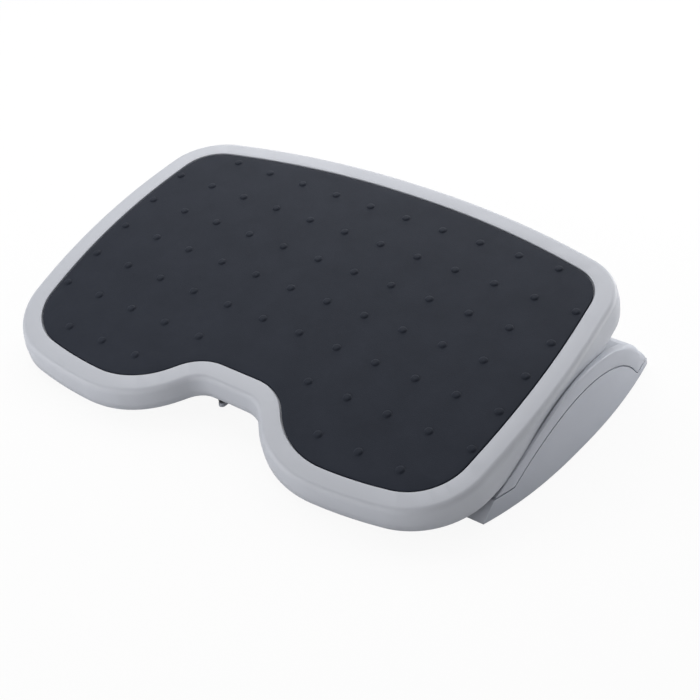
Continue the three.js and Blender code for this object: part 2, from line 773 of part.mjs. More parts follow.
function archHousing() {
  const tongue = cheekWall + seatGap;
  const floor = solidOf(boxBetween([0, -far, trayTop + seatGap], [podBulge, far, far]));
  const skin = podEnvelope(0, podInner).intersect(besideLine(seamLine(), seamGap, far));
  const lap = podEnvelope(tongue, podInner).intersect(besideLine(seamLine(), -tongueDepth, far));
  const wall = podEnvelope(tongue, podInner).intersect(solidOf(
    boxBetween([podInner, -far, 0], [podInner + housingWall, far, far])));
  const inside = podEnvelope(tongue + housingWall, podInner + housingWall)
    .intersect(besideLine(ledgeLine(), -housingWall, -far));
  const sweep = leaningPlan(lipWall, 0).intersect(skirtPath()).intersect(besideLine(ledgeLine(), 0, far));
  const posts = joinedShapes(housingPosts.map(([x, y]) => rodUp(x, y, postFoot, far, postRadius)))
    .intersect(podEnvelope(housingWall / 2, podInner))
    .intersect(besideLine(ledgeLine(), -housingWall / 2, -far));
  const shell = joined([skin, lap, wall]).subtract(inside).subtract(sweep).intersect(floor);
  return geometryOf(shell.add(posts).subtract(joinedShapes(housingPosts.map(pilotUp))));
}

function sideCheek() {
  const band = podEnvelope(0, podInner)
    .intersect(besideLine(seamLine(), 0, -far))
    .intersect(solidOf(boxBetween([0, -far, floorGap], [podBulge, far, far])))
    .subtract(podEnvelope(cheekWall, 0));
  const web = cheekWall / 2;
  const postTop = postFoot + postHeight;
  const posts = cheekPosts.flatMap(([x, y]) => [
    rodUp(x, y, postFoot, postTop, postRadius),
    boxBetween([x, y - web, postFoot], [sideX(y, postTop, web), y + web, postTop]),
  ]);
  return geometryOf(band.add(joinedShapes(posts)).subtract(joinedShapes(cheekPosts.map(pilotUp))));
}

const flangeUnder = wellTop + seatGap;
const flangeTop = flangeUnder + flangeThickness;
const flangeY = [pivot.y - towerFoot - flangeLength, pivot.y + towerShoulder + towerFlare + flangeLength];
const towerScrews = [-1, 1].flatMap((side) => [
  [hingeX + side * (flangeHalfWidth - wellRadius), flangeY[0] + wellRadius],
  [hingeX + side * (flangeHalfWidth - wellRadius), flangeY[1] - wellRadius],
]);
const stopTop = pivot.z + heelLift - seatGap;
const stopUnder = stopTop - stopPadThickness;
const shoulderZ = stopUnder - seatGap + stopPocket;
const stopHalfWidth = heelHalfWidth - stopPadInset;
const stopY = [pivot.y + heelFront + stopPadInset, pivot.y + heelBack - stopPadInset];
const bushRadius = pinRadius + runningGap + bushWall;

function pivotTower() {
  const head = pivot.z + towerHead;
  const side = roundedPath([pivot.y - towerFoot, flangeTop - flangeThickness / 2], [
    [pivot.y - towerHead, head, towerHeadRound],
    [pivot.y + towerHead, head, towerHeadRound],
    [pivot.y + towerHead, shoulderZ, towerRound],
    [pivot.y + towerShoulder, shoulderZ, towerRound],
  ], [pivot.y + towerShoulder + towerFlare, flangeTop - flangeThickness / 2]);
  const body = prismAcross(side, hingeX - towerWidth / 2, hingeX + towerWidth / 2);
  const flange = boxBetween([hingeX - flangeHalfWidth, flangeY[0], flangeUnder],
    [hingeX + flangeHalfWidth, flangeY[1], flangeTop]);
  const bore = rodAcross(pivot.y, pivot.z, hingeX - towerWidth, hingeX + towerWidth,
    bushRadius + screwGap, pinSides);
  const pocket = boxBetween([hingeX - stopHalfWidth - seatGap, stopY[0] - seatGap, stopUnder - seatGap],
    [hingeX + stopHalfWidth + seatGap, stopY[1] + seatGap, far]);
  return geometryOf(joinedShapes([body, flange])
    .subtract(joinedShapes([bore, pocket, ...towerScrews.map(pilotUp)])));
}

const stopPad = () => boxBetween([hingeX - stopHalfWidth, stopY[0], stopUnder],
  [hingeX + stopHalfWidth, stopY[1], stopTop]);

function pivotBush() {
  const bore = pinRadius + runningGap;
  const half = towerWidth / 2;
  return turnedRing([[bore, -half], [bushRadius, -half], [bushRadius, half], [bore, half]], pinSides)
    .rotateY(Math.PI / 2)
    .translate(hingeX, pivot.y, pivot.z);
}

// The tray between the pods in plan: straight middle, and a front edge that runs out to the pods
function trayPlan(halfWidth) {
  const podsFront = -(podFront - stripLean / 2);
  return withMirror(roundedPath([0, -trayFront], [
    [trayBayShare * podInner, -trayFront, trayBayRadius],
    [trayCornerShare * podInner, podsFront, trayBayRadius],
    [halfWidth, podsFront, 0],
    [halfWidth, baseBack + overrun, 0],
  ], [0, baseBack + overrun]));
}

const footX = podInner + footOutset;
const footFrontY = -(podFront - footFrontInset);
const footBackY = baseBack - footBackInset;
const feet = [[footX, footFrontY], [footX, footBackY]];
const wells = [...housingPosts, ...cheekPosts, ...towerScrews];
// Middle of the tray: a plate with a low wall along its front and rear edges, ribs, and stop tabs
function trayMiddle() {
  const half = podInner - seatGap;
  const rearWall = baseBack - lipLean - trayWall;
  const plan = solidOf(prismUp(trayPlan(half), footHeight, lipHeight));
  const slopes = solidOf(prismAcross(podProfile(), -podBulge, podBulge));
  const hollow = solidOf(prismUp(offsetOutline(trayPlan(half + overrun), -trayWall), trayTop, far))
    .intersect(solidOf(boxBetween([-far, -far, trayTop], [far, rearWall, far])));
  const frontCut = solidOf(boxBetween([-half, -far, trayFrontWall], [half, 0, far]));
  const rib = trayRib / 2;
  const ribs = trayRibShares.map((share) => share * baseBack)
    .map((y) => boxBetween([-half, y - rib, trayTop - rib], [half, y + rib, trayTop + trayRibHeight]));
  const tabs = [-bumperX, bumperX].map((x) => boxBetween(
    [x - bumperRadius, stopTabFront, footHeight],
    [x + bumperRadius, -trayFront + trayWall, stopTabTop],
  ));
  return plan.intersect(slopes).subtract(hollow).subtract(frontCut).add(joinedShapes([...ribs, ...tabs]));
}

function baseTray() {
  const level = solidOf(boxBetween([0, -far, footHeight], [podBulge, far, trayTop]));
  const floor = geometryOf(podEnvelope(cheekWall + seatGap, podInner - overrun).intersect(level));
  const places = bothSides(wells);
  const collars = places.map(([x, y]) => rodUp(x, y, footHeight, wellTop, wellRadius));
  const holes = [
    ...places.map(([x, y]) => rodUp(x, y, -overrun, far, screwRadius + screwGap, screwSides)),
    ...places.map(([x, y]) => rodUp(x, y, -overrun, wellSeat, screwHeadRadius + 2 * screwGap)),
    ...bothSides(feet).map(([x, y]) => rodUp(x, y, -overrun, far, footStem + screwGap)),
  ];
  return geometryOf(trayMiddle()
    .add(joinedShapes([floor, mirrored(floor), ...collars]))
    .subtract(joinedShapes(holes)));
}

function rubberFoot(y) {
  const disc = footHeight - seatGap;
  const barb = trayTop + seatGap;
  return turned([
    [0, 0],
    [footRadius, 0],
    [footRadius, disc],
    [footStem, disc],
    [footStem, barb],
    [footBarb, barb],
    [footStem, barb + footBarbHeight],
    [0, barb + footBarbHeight],
  ], roundSides).translate(footX, y, 0);
}

function finish(color, roughness, metalness = 0) {
  return new THREE.MeshStandardMaterial({ color, roughness, metalness });
}

const platformFinish = finish(paleGrey, 0.45);
const baseFinish = finish(cheekGrey, 0.5);

function named(name, geometry, material) {
  const mesh = new THREE.Mesh(geometry, material.clone());
  mesh.name = name;
  return mesh;
}

// A right-hand piece and its mirror image, named with their sides
function pair(name, geometry, material) {
  const closed = geometryOf(solidOf(geometry));
  return [named(`right_${name}`, closed, material), named(`left_${name}`, mirrored(closed), material)];
}

function screwSet(name, places, seat, length, material) {
  return bothSides(places).map(([x, y], i) => (
    named(`${name}_${i + 1}`, screw(x, y, seat, length), material)));
}

function buildPlatform() {
  const platform = new THREE.Group();
  platform.position.set(0, matCentreY, matHeight);
  platform.rotation.x = restSlope;
  const nylon = finish(nylonBlack, 0.55);
  const steel = finish(zincGrey, 0.35, 0.9);
  platform.add(
    named('foot_mat', footMat(), finish(rubberBlack, 0.75)),
    named('platform_shell', platformShell(), platformFinish),
    ...pair('hinge_bracket', hingeBracket(), nylon),
    ...pair('pivot_pin', pivotPin(), steel),
    ...pair('pin_clip', onPivot(pinClip()), steel),
    ...pair('outer_washer', thrustWasher(1), finish(acetalWhite, 0.4)),
    ...pair('inner_washer', thrustWasher(-1), finish(acetalWhite, 0.4)),
    ...pair('front_bumper', frontBumper(), finish(darkRubber, 0.85)),
    ...screwSet('bracket_screw', bracketScrews, plateUnder - seatGap, bracketScrewLength, steel),
  );
  return platform;
}

function buildBase() {
  const base = new THREE.Group();
  const nylon = finish(nylonBlack, 0.55);
  const steel = finish(zincGrey, 0.35, 0.9);
  const rubber = finish(darkRubber, 0.85);
  base.add(
    named('base_tray', baseTray(), baseFinish),
    ...pair('side_cheek', sideCheek(), baseFinish),
    ...pair('arch_housing', archHousing(), baseFinish),
    ...pair('pivot_tower', pivotTower(), nylon),
    ...pair('pivot_bush', pivotBush(), finish(acetalWhite, 0.4)),
    ...pair('stop_pad', stopPad(), rubber),
    ...pair('front_foot', rubberFoot(footFrontY), rubber),
    ...pair('rear_foot', rubberFoot(footBackY), rubber),
    ...screwSet('tower_screw', towerScrews, screwSeat, baseScrewLength, steel),
    ...screwSet('housing_screw', housingPosts, screwSeat, baseScrewLength, steel),
    ...screwSet('cheek_screw', cheekPosts, screwSeat, baseScrewLength, steel),
  );
  return base;
}

const footrest = new THREE.Group();
footrest.add(buildBase(), buildPlatform());

export default footrest;
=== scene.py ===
import json
from math import acos, ceil, copysign, cos, pi, radians, sin, tan

import bmesh
import bpy
from mathutils import Matrix, Vector


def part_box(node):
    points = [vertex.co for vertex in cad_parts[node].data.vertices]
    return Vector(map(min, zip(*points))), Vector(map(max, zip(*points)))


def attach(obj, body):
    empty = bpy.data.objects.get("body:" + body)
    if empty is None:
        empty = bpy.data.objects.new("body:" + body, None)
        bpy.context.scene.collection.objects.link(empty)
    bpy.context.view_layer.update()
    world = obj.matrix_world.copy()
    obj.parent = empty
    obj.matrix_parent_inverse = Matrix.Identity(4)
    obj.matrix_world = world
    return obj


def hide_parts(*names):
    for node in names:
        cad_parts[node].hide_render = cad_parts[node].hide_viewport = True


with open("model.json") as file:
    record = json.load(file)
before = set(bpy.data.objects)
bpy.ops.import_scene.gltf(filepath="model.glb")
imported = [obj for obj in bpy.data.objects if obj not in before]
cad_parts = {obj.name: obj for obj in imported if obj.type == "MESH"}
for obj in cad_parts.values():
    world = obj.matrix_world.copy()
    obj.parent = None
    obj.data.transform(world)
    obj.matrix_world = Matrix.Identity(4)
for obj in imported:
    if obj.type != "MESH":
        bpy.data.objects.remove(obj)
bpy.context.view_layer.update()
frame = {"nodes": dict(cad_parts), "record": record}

# Tilting under desk footrest. Pieces are drawn in millimetres, X right, Y rear, Z up, and come to
# metres when they are finished. Platform pieces are drawn level, about the middle of the mat's
# face, and then tilted to their rest slope.
millimetre = 0.001
unturned = Matrix.Identity(4)
scene = bpy.context.scene

rest = {
    "slope": 15.4, "matHeight": 81.003, "matCentreY": -10.3,
    # at crownReach from its summit the face has sunk by crownDrop
    "crownReach": 166.2, "crownDrop": 7.2, "crownSummit": -2.8,
    # hinge axis in the level platform
    "pivotX": 150, "pivotY": 29, "pivotDrop": 34,
}
slope = radians(rest["slope"])


def crown(y):
    return -rest["crownDrop"] * ((y - rest["crownSummit"]) / rest["crownReach"]) ** 2


def atRest(y, z):  # a point of the level platform, where it stands at rest
    return (rest["matCentreY"] + y * cos(slope) - z * sin(slope),
            rest["matHeight"] + y * sin(slope) + z * cos(slope))


pivotAtY, pivotAtZ = atRest(rest["pivotY"], -rest["pivotDrop"])
levelMatHeight = pivotAtZ + rest["pivotDrop"]
platformPlace = (Matrix.Translation((0, rest["matCentreY"], rest["matHeight"]))
                 @ Matrix.Rotation(slope, 4, "X"))


# Materials come first, so that a piece can name its own

def linear(hexColour):  # the linear colour of an sRGB hex value
    shares = [int(hexColour[i:i + 2], 16) / 255 for i in (1, 3, 5)]
    return (*(c / 12.92 if c <= 0.04045 else ((c + 0.055) / 1.055) ** 2.4 for c in shares), 1)


def emptyTree(owner):
    owner.use_nodes = True
    owner.node_tree.nodes.clear()
    return owner.node_tree


def addNode(tree, kind, settings=None, links=None):
    node = tree.nodes.new("ShaderNode" + kind)
    for key, value in (settings or {}).items():
        if isinstance(key, int) or key in node.inputs:
            node.inputs[key].default_value = value
        else:
            setattr(node, key, value)
    for key, source in (links or {}).items():
        tree.links.new(source, node.inputs[key])
    return node


def camel(name):
    first, *others = name.split("_")
    return first + "".join(word.capitalize() for word in others)


def mouldedMaterial(slot, look):
    # broad clouds tint the colour, a fine grain makes the bump and breaks up the gloss
    material = bpy.data.materials.new(camel(slot))
    tree = emptyTree(material)
    place = addNode(tree, "TexCoord").outputs["Object"]
    clouds = addNode(tree, "TexNoise",
                     {"Scale": 1 / look["cloudSize"], "Detail": 4, "Roughness": 0.6},
                     {"Vector": place})
    grain = addNode(tree, "TexNoise",
                    {"Scale": 1 / look["grainSize"], "Detail": 2, "Roughness": 0.5},
                    {"Vector": place})
    colour = addNode(tree, "Mix",
                     {"data_type": "RGBA", 6: linear(look["dark"]), 7: linear(look["light"])},
                     {0: clouds.outputs["Fac"]})
    gloss = addNode(tree, "MapRange",
                    {"To Min": look["roughness"] - look["spread"],
                     "To Max": look["roughness"] + look["spread"]},
                    {"Value": grain.outputs["Fac"]})
    bump = addNode(tree, "Bump",
                   {"Strength": look["grainStrength"], "Distance": look["grainDepth"]},
                   {"Height": grain.outputs["Fac"]})
    shader = addNode(tree, "BsdfPrincipled",
                     {"Metallic": look.get("metallic", 0), "IOR": look.get("ior", 1.5),
                      "Specular IOR Level": look.get("specular", 0.5)},
                     {"Base Color": colour.outputs[2], "Roughness": gloss.outputs["Result"],
                      "Normal": bump.outputs["Normal"]})
    addNode(tree, "OutputMaterial", links={"Surface": shader.outputs["BSDF"]})
    return material


# By material slot, in metres. Each real grain is too fine to show, so it is drawn coarser. Both
# plastics are moulded ABS with an even spark grain of 0.15 mm, drawn at 0.9
sparkGrain = {"grainSize": 0.0009, "grainStrength": 0.3, "grainDepth": 0.0002,
              "roughness": 0.45, "spread": 0.05, "ior": 1.53}
finishes = {
    "platform_plastic": {"dark": "#b6b9c1", "light": "#c0c3cb", "cloudSize": 0.09, **sparkGrain},
    "base_plastic": {"dark": "#afb3bd", "light": "#b9bdc7", "cloudSize": 0.08, **sparkGrain},
    # thermoplastic rubber: dark, blue-grey, and dull, because its stipple traps most of the
    # shine. Stipple 0.2 mm, drawn at 0.9
    "mat_rubber": {"dark": "#1c2029", "light": "#2c303a", "cloudSize": 0.045,
                   "grainSize": 0.0009, "grainStrength": 0.35, "grainDepth": 0.0003,
                   "roughness": 0.72, "spread": 0.08, "specular": 0.13},
    # plain moulded rubber: matt and nearly black. Grain 0.1 mm, drawn at 0.8
    "bumper_rubber": {"dark": "#232427", "light": "#2b2c30", "cloudSize": 0.02,
                      "grainSize": 0.0008, "grainStrength": 0.2, "grainDepth": 0.0002,
                      "roughness": 0.75, "spread": 0.05, "ior": 1.52},
    # black, with a faint fibrous mottle. Fibres 0.2 mm, drawn at 0.7
    "glass_filled_nylon": {"dark": "#27282b", "light": "#36373b", "cloudSize": 0.006,
                           "grainSize": 0.0007, "grainStrength": 0.25, "grainDepth": 0.0002,
                           "roughness": 0.5, "spread": 0.1, "ior": 1.53},
    # natural acetal: white and slightly waxy, with hardly any grain. 0.1 mm, drawn at 1
    "acetal": {"dark": "#dedcd2", "light": "#e8e6df", "cloudSize": 0.01,
               "grainSize": 0.001, "grainStrength": 0.05, "grainDepth": 0.0001,
               "roughness": 0.32, "spread": 0.04, "ior": 1.48},
    # bright zinc plate: grey, a little cloudy. Crystals 0.05 mm, drawn at 0.5
    "zinc_steel": {"dark": "#a3a6aa", "light": "#c3c5c8", "cloudSize": 0.003,
                   "grainSize": 0.0005, "grainStrength": 0.08, "grainDepth": 0.0001,
                   "roughness": 0.32, "spread": 0.1, "metallic": 1},
}
materials = {slot: mouldedMaterial(slot, look) for slot, look in finishes.items()}
nodeSlot = {entry["node"]: entry["material_slot"] for entry in frame["record"]["subparts"]}
nodeBody = {node: body for body, nodes in frame["record"]["behaviour"]["bodies"].items()
            for node in nodes}
for node, cadObject in frame["nodes"].items():
    cadObject.data.materials.clear()
    cadObject.data.materials.append(materials[nodeSlot[node]])
print("materials ready")

# Drawing tools. A line is a list of points, and those between its ends are corners, (x, y, radius),
# which become spun arcs. Points this near are one: in a line, in a mesh, after cuts, on a slice
nearby, weld, cutWeld, sliceWeld = 1e-3, 1e-4, 1e-2, 1e-5
arcSag = 0.04  # how far the chords of an arc may stay inside it
flatAngle = 0.2  # faces that differ by fewer degrees are one face
farAlong, farOut = 300, 400  # where cutters end, well past the piece


def tangentArcs(line):
    # where each corner's arc starts, its centre, its turn and its radius, made smaller to fit
    knots = [Vector(point[:2]) for point in line]
    halves = [(a - b).angle(c - b) / 2 for a, b, c in zip(knots, knots[1:], knots[2:])]
    wanted = [corner[2] / tan(half) for corner, half in zip(line[1:-1], halves)]
    around = [0, *wanted, 0]
    fits = [min(1, (b - a).length / (here + there)) if here + there else 1
            for a, b, here, there in zip(knots, knots[1:], around, around[1:])]
    arcs = []
    for i, half in enumerate(halves):
        reach = wanted[i] * min(fits[i], fits[i + 1])
        radius = reach * tan(half)
        before, knot, after = knots[i:i + 3]
        before, after = (before - knot).normalized(), (after - knot).normalized()
        centre = knot + (before + after).normalized() * (radius / sin(half))
        turn = copysign(pi - 2 * half, after.cross(before))
        arcs.append((knot + before * reach, centre, turn, radius))
    return arcs


def join(bm, near):
    bmesh.ops.remove_doubles(bm, verts=bm.verts, dist=near)


def applyMatrix(bm, matrix):
    bmesh.ops.transform(bm, verts=bm.verts, matrix=matrix)


def lineTo(bm, vert, point):
    if (vert.co.xy - Vector(point[:2])).length < nearby:
        return vert
    made = bmesh.ops.extrude_vert_indiv(bm, verts=[vert])["verts"][0]
    made.co = (point[0], point[1], vert.co.z)
    return made


def drawLine(bm, line):
    vert = bm.verts.new((line[0][0], line[0][1], 0))
    for arcStart, centre, turn, radius in tangentArcs(line):
        vert = lineTo(bm, vert, arcStart)
        if radius > nearby:
            count = max(2, ceil(abs(turn) / (2 * acos(1 - min(1, arcSag / radius)))))
            spun = bmesh.ops.spin(bm, geom=[vert], cent=(centre.x, centre.y, 0), axis=(0, 0, 1),
                                  dvec=(0, 0, 0), angle=turn, steps=count, use_merge=False,
                                  use_duplicate=False)
            vert = spun["geom_last"][0]
    return lineTo(bm, vert, line[-1])


def mirrorLine(bm):
    bmesh.ops.mirror(bm, geom=bm.verts[:] + bm.edges[:], matrix=unturned, merge_dist=nearby,
                     axis="X")
    join(bm, nearby)
    return bm.edges[:]


def closeRing(bm):
    ends = [vert for vert in bm.verts if len(vert.link_edges) == 1]
    if len(ends) == 2:
        bm.edges.new(ends)
    return bm.edges[:]


def outwardLayer(bm, ring):
    # keeps on each vertex of a ring the step that moves it one unit outwards
    layer = bm.verts.layers.float_vector.new("outwards")
    order = [ring[0].verts[0], ring[0].verts[1]]
    while True:
        beside = [edge.other_vert(order[-1]) for edge in order[-1].link_edges]
        ahead = next(vert for vert in beside if vert != order[-2])
        if ahead == order[0]:
            break
        order.append(ahead)
    area = sum(a.co.x * b.co.y - b.co.x * a.co.y for a, b in zip(order, order[1:] + order[:1]))
    hand = copysign(1, area)
    for i, vert in enumerate(order):
        before, after = order[i - 1].co, order[(i + 1) % len(order)].co
        first = Vector((vert.co.y - before.y, before.x - vert.co.x, 0)).normalized() * hand
        second = Vector((after.y - vert.co.y, vert.co.x - after.x, 0)).normalized() * hand
        vert[layer] = (first + second) * (2 / (first + second).length_squared)
    return layer


def shiftVerts(verts, layer, outwards, up):
    # outwards is a distance, or a function that gives a vertex's own
    for vert in verts:
        reach = outwards(vert) if callable(outwards) else outwards
        vert.co += vert[layer] * reach + Vector((0, 0, up))


def growRing(bm, ring, layer, outwards, up):
    made = bmesh.ops.extrude_edge_only(bm, edges=ring)["geom"]
    verts = {item for item in made if isinstance(item, bmesh.types.BMVert)}
    shiftVerts(verts, layer, outwards, up)
    return [item for item in made if isinstance(item, bmesh.types.BMEdge)
            and set(item.verts) <= verts]


def growRings(bm, ring, layer, section):
    # takes a ring through a list of (reach, height) places, the first of which it is at
    for (reach, height), (nextReach, nextHeight) in zip(section, section[1:]):
        ring = growRing(bm, ring, layer, nextReach - reach, nextHeight - height)
    return ring


def roundCorner(centre, radii, fromDegrees, toDegrees, count):
    # places on an arc of a section
    angles = [radians(fromDegrees + (toDegrees - fromDegrees) * i / count)
              for i in range(count + 1)]
    return [(centre[0] + radii[0] * cos(a), centre[1] + radii[1] * sin(a)) for a in angles]


def stepsBy(reach, height, steps):
    # places beside a corner of a section, which round it off
    return [(reach + across, height + up) for across, up in steps]


def capRing(bm, ring):
    return bmesh.ops.contextual_create(bm, geom=ring)["faces"]


def cutAcross(bm, axis, places):
    normal = Vector([1 if i == axis else 0 for i in range(3)])
    for place in places:
        bmesh.ops.bisect_plane(bm, geom=bm.verts[:] + bm.edges[:] + bm.faces[:],
                               dist=sliceWeld, plane_co=normal * place, plane_no=normal)


def evenSteps(start, end, pitch):
    count = ceil((end - start) / pitch)
    return [start + (end - start) * i / count for i in range(count + 1)]


def pullUp(bm, faces, height):
    lifted = bmesh.ops.extrude_face_region(bm, geom=faces)["geom"]
    verts = [item for item in lifted if isinstance(item, bmesh.types.BMVert)]
    bmesh.ops.translate(bm, verts=verts, vec=(0, 0, height))


def newObject(name, data):
    made = bpy.data.objects.new(name, data)
    scene.collection.objects.link(made)
    return made


def meshObject(name, bm):
    join(bm, weld)
    bmesh.ops.recalc_face_normals(bm, faces=bm.faces)
    mesh = bpy.data.meshes.new(name)
    bm.to_mesh(mesh)
    bm.free()
    return newObject(name, mesh)


def settle(made):
    # the mesh as its modifiers leave it
    graph = bpy.context.evaluated_depsgraph_get()
    mesh = bpy.data.meshes.new_from_object(made.evaluated_get(graph))
    made.modifiers.clear()
    made.data = mesh
    return made


def combine(made, tools, operation):
    for tool in tools:
        modifier = made.modifiers.new(operation.lower(), "BOOLEAN")
        modifier.operation, modifier.solver, modifier.object = operation, "MANIFOLD", tool
        settle(made)
        bpy.data.objects.remove(tool)
    return made


def only(made, *tools):
    return combine(made, tools, "INTERSECT")


def less(made, *tools):
    return combine(made, tools, "DIFFERENCE")


def plus(made, *tools):
    return combine(made, tools, "UNION")


def softEdges(made, width=0.4, segments=2, limit=35):
    # joins what the cuts split, then rounds the edges that are left
    bm = bmesh.new()
    bm.from_mesh(made.data)
    join(bm, cutWeld)
    bmesh.ops.dissolve_limit(bm, angle_limit=radians(flatAngle), verts=bm.verts, edges=bm.edges)
    bm.to_mesh(made.data)
    bm.free()
    modifier = made.modifiers.new("edges", "BEVEL")
    modifier.width, modifier.segments = width, segments
    modifier.limit_method, modifier.angle_limit = "ANGLE", radians(limit)
    modifier.use_clamp_overlap = True
    return settle(made)


def cubeBetween(low, high):
    bm = bmesh.new()
    bmesh.ops.create_cube(bm, size=1)
    bmesh.ops.scale(bm, verts=bm.verts, vec=[b - a for a, b in zip(low, high)])
    bmesh.ops.translate(bm, verts=bm.verts, vec=[(a + b) / 2 for a, b in zip(low, high)])
    return bm


def boxSolid(low, high):
    return meshObject("box", cubeBetween(low, high))


def rightHalf(low, high=farAlong):
    # all of the right-hand side between two heights, to trim a piece with
    return boxSolid((0, -farAlong, low), (farOut, farAlong, high))


def rod(radius, length, place, count):
    bm = bmesh.new()
    bmesh.ops.create_cone(bm, cap_ends=True, segments=count, radius1=radius, radius2=radius,
                          depth=length, matrix=place)
    return meshObject("rod", bm)


def rodSolid(x, y, low, high, radius, count=32):
    return rod(radius, high - low, Matrix.Translation((x, y, (low + high) / 2)), count)


def rodAcross(fromX, toX, y, z, radius):
    place = Matrix.Translation(((fromX + toX) / 2, y, z)) @ Matrix.Rotation(pi / 2, 4, "Y")
    return rod(radius, toX - fromX, place, 48)


def spunSolid(section, count=48, closed=False):
    # a (radius, height) section turned round Z
    bm = bmesh.new()
    verts = [bm.verts.new((radius, 0, height)) for radius, height in section]
    for a, b in zip(verts, verts[1:]):
        bm.edges.new((a, b))
    if closed:
        bm.edges.new((verts[-1], verts[0]))
    bmesh.ops.spin(bm, geom=bm.verts[:] + bm.edges[:], cent=(0, 0, 0), axis=(0, 0, 1),
                   dvec=(0, 0, 0), angle=2 * pi, steps=count, use_merge=True,
                   use_duplicate=False)
    return meshObject("spun", bm)


# what is drawn in X and Y and pulled up comes to Y and Z, pulled along X
acrossTurn = Matrix(((0, 0, 1, 0), (1, 0, 0, 0), (0, 1, 0, 0), (0, 0, 0, 1)))


def acrossSolid(line, fromX, toX, closing=()):
    # a (y, z) line, closed by straight runs, pulled along X
    bm = bmesh.new()
    vert = drawLine(bm, line)
    for point in closing:
        vert = lineTo(bm, vert, point)
    pullUp(bm, capRing(bm, closeRing(bm)), toX - fromX)
    bmesh.ops.translate(bm, verts=bm.verts, vec=(0, 0, fromX))
    applyMatrix(bm, acrossTurn)
    return meshObject("across", bm)


def slabSolid(bm, ring, reach, low, high):
    # a ring in plan, moved outwards and pulled up
    layer = outwardLayer(bm, ring)
    shiftVerts(bm.verts, layer, reach, low)
    bm.verts.layers.float_vector.remove(layer)
    pullUp(bm, capRing(bm, ring), high - low)
    return meshObject("slab", bm)


def finishPiece(made, node, transform=unturned, sharpAngle=30):
    # in metres, in its place, on its node's body, and smooth but for edges over sharpAngle
    bm = bmesh.new()
    bm.from_mesh(made.data)
    applyMatrix(bm, Matrix.Scale(millimetre, 4) @ transform)
    if transform.determinant() < 0:
        bmesh.ops.reverse_faces(bm, faces=bm.faces)
    join(bm, weld * millimetre)
    for face in bm.faces:
        face.smooth = True
    for edge in bm.edges:
        edge.smooth = len(edge.link_faces) == 2 and edge.calc_face_angle() < radians(sharpAngle)
    made.name = camel(node)
    made.data = bpy.data.meshes.new(made.name)
    bm.to_mesh(made.data)
    bm.free()
    made.data.materials.append(materials[nodeSlot[node]])
    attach(made, nodeBody[node])
    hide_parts(node)


def finishPair(made, name, transform=unturned):
    # a right-hand piece and its mirror image
    for side, hand, piece in (("right", 1, newObject(name, made.data)), ("left", -1, made)):
        finishPiece(piece, f"{side}_{name}", Matrix.Scale(hand, 4, (1, 0, 0)) @ transform)


# metres, degrees and millimetres, as fitted to the nubs in the photograph
camera = {"place": (0.70809, -0.92856, 0.77593), "down": 33.13, "azimuth": 35.75, "lens": 74.81}
cameraData = bpy.data.cameras.new("camera")
cameraData.lens = camera["lens"]
cameraObject = newObject("camera", cameraData)
cameraObject.location = camera["place"]
cameraObject.rotation_euler = (radians(90 - camera["down"]), 0, radians(camera["azimuth"]))
scene.camera = cameraObject

# soft boxes in metres and watts, aimed at the middle. Those behind and above light the mat, the
# rim and the right-hand pod, and the low ones on the left and in front lift the skirt there
lamps = {
    "backLeftBox": {"place": (-0.9, 1.3, 0.9), "size": 1.0, "power": 7.2},
    "backBox": {"place": (0.0, 1.2, 1.4), "size": 1.0, "power": 9.4},
    "topLeftBox": {"place": (-0.9, 0.3, 1.3), "size": 1.0, "power": 8.5},
    "backRightWindow": {"place": (0.55, 1.6, 0.5), "size": 0.9, "power": 8.3},
    "rightWindow": {"place": (1.3, 1.3, 0.5), "size": 0.9, "power": 9.5},
    "leftWindow": {"place": (-1.2, -1.2, 0.5), "size": 0.9, "power": 10.8},
    "frontWindow": {"place": (0.0, -1.7, 0.4), "size": 0.9, "power": 6.7},
}
for name, lamp in lamps.items():
    lampData = bpy.data.lights.new(name, "AREA")
    lampData.size, lampData.energy = lamp["size"], lamp["power"]
    lampObject = newObject(name, lampData)
    lampObject.location = lamp["place"]
    lampObject.rotation_euler = (-Vector(lamp["place"])).to_track_quat("-Z", "Y").to_euler()

# floorGlow is how much of the floor in view is plain white. It rises to all of it between
# glowFrom and glowTo, in metres from the middle
room = {"white": "#ffffff", "worldLevel": 0.12, "floor": "#fafafa", "floorSize": 8,
        "floorGlow": 0.92, "glowFrom": 0.5, "glowTo": 1.6}
white = linear(room["white"])
world = bpy.data.worlds.new("studio")
scene.world = world
tree = emptyTree(world)
path = addNode(tree, "LightPath")
seen = addNode(tree, "Math", {"operation": "MAXIMUM"},
               {0: path.outputs["Is Camera Ray"], 1: path.outputs["Is Glossy Ray"]})
seenThrough = addNode(tree, "Math", {"operation": "MAXIMUM"},
                      {0: seen.outputs[0], 1: path.outputs["Is Transmission Ray"]})
soft = addNode(tree, "Background", {"Color": white, "Strength": room["worldLevel"]})
backdrop = addNode(tree, "Background", {"Color": white, "Strength": 1})
mixed = addNode(tree, "MixShader",
                links={0: seenThrough.outputs[0], 1: soft.outputs[0], 2: backdrop.outputs[0]})
addNode(tree, "OutputWorld", links={"Surface": mixed.outputs[0]})

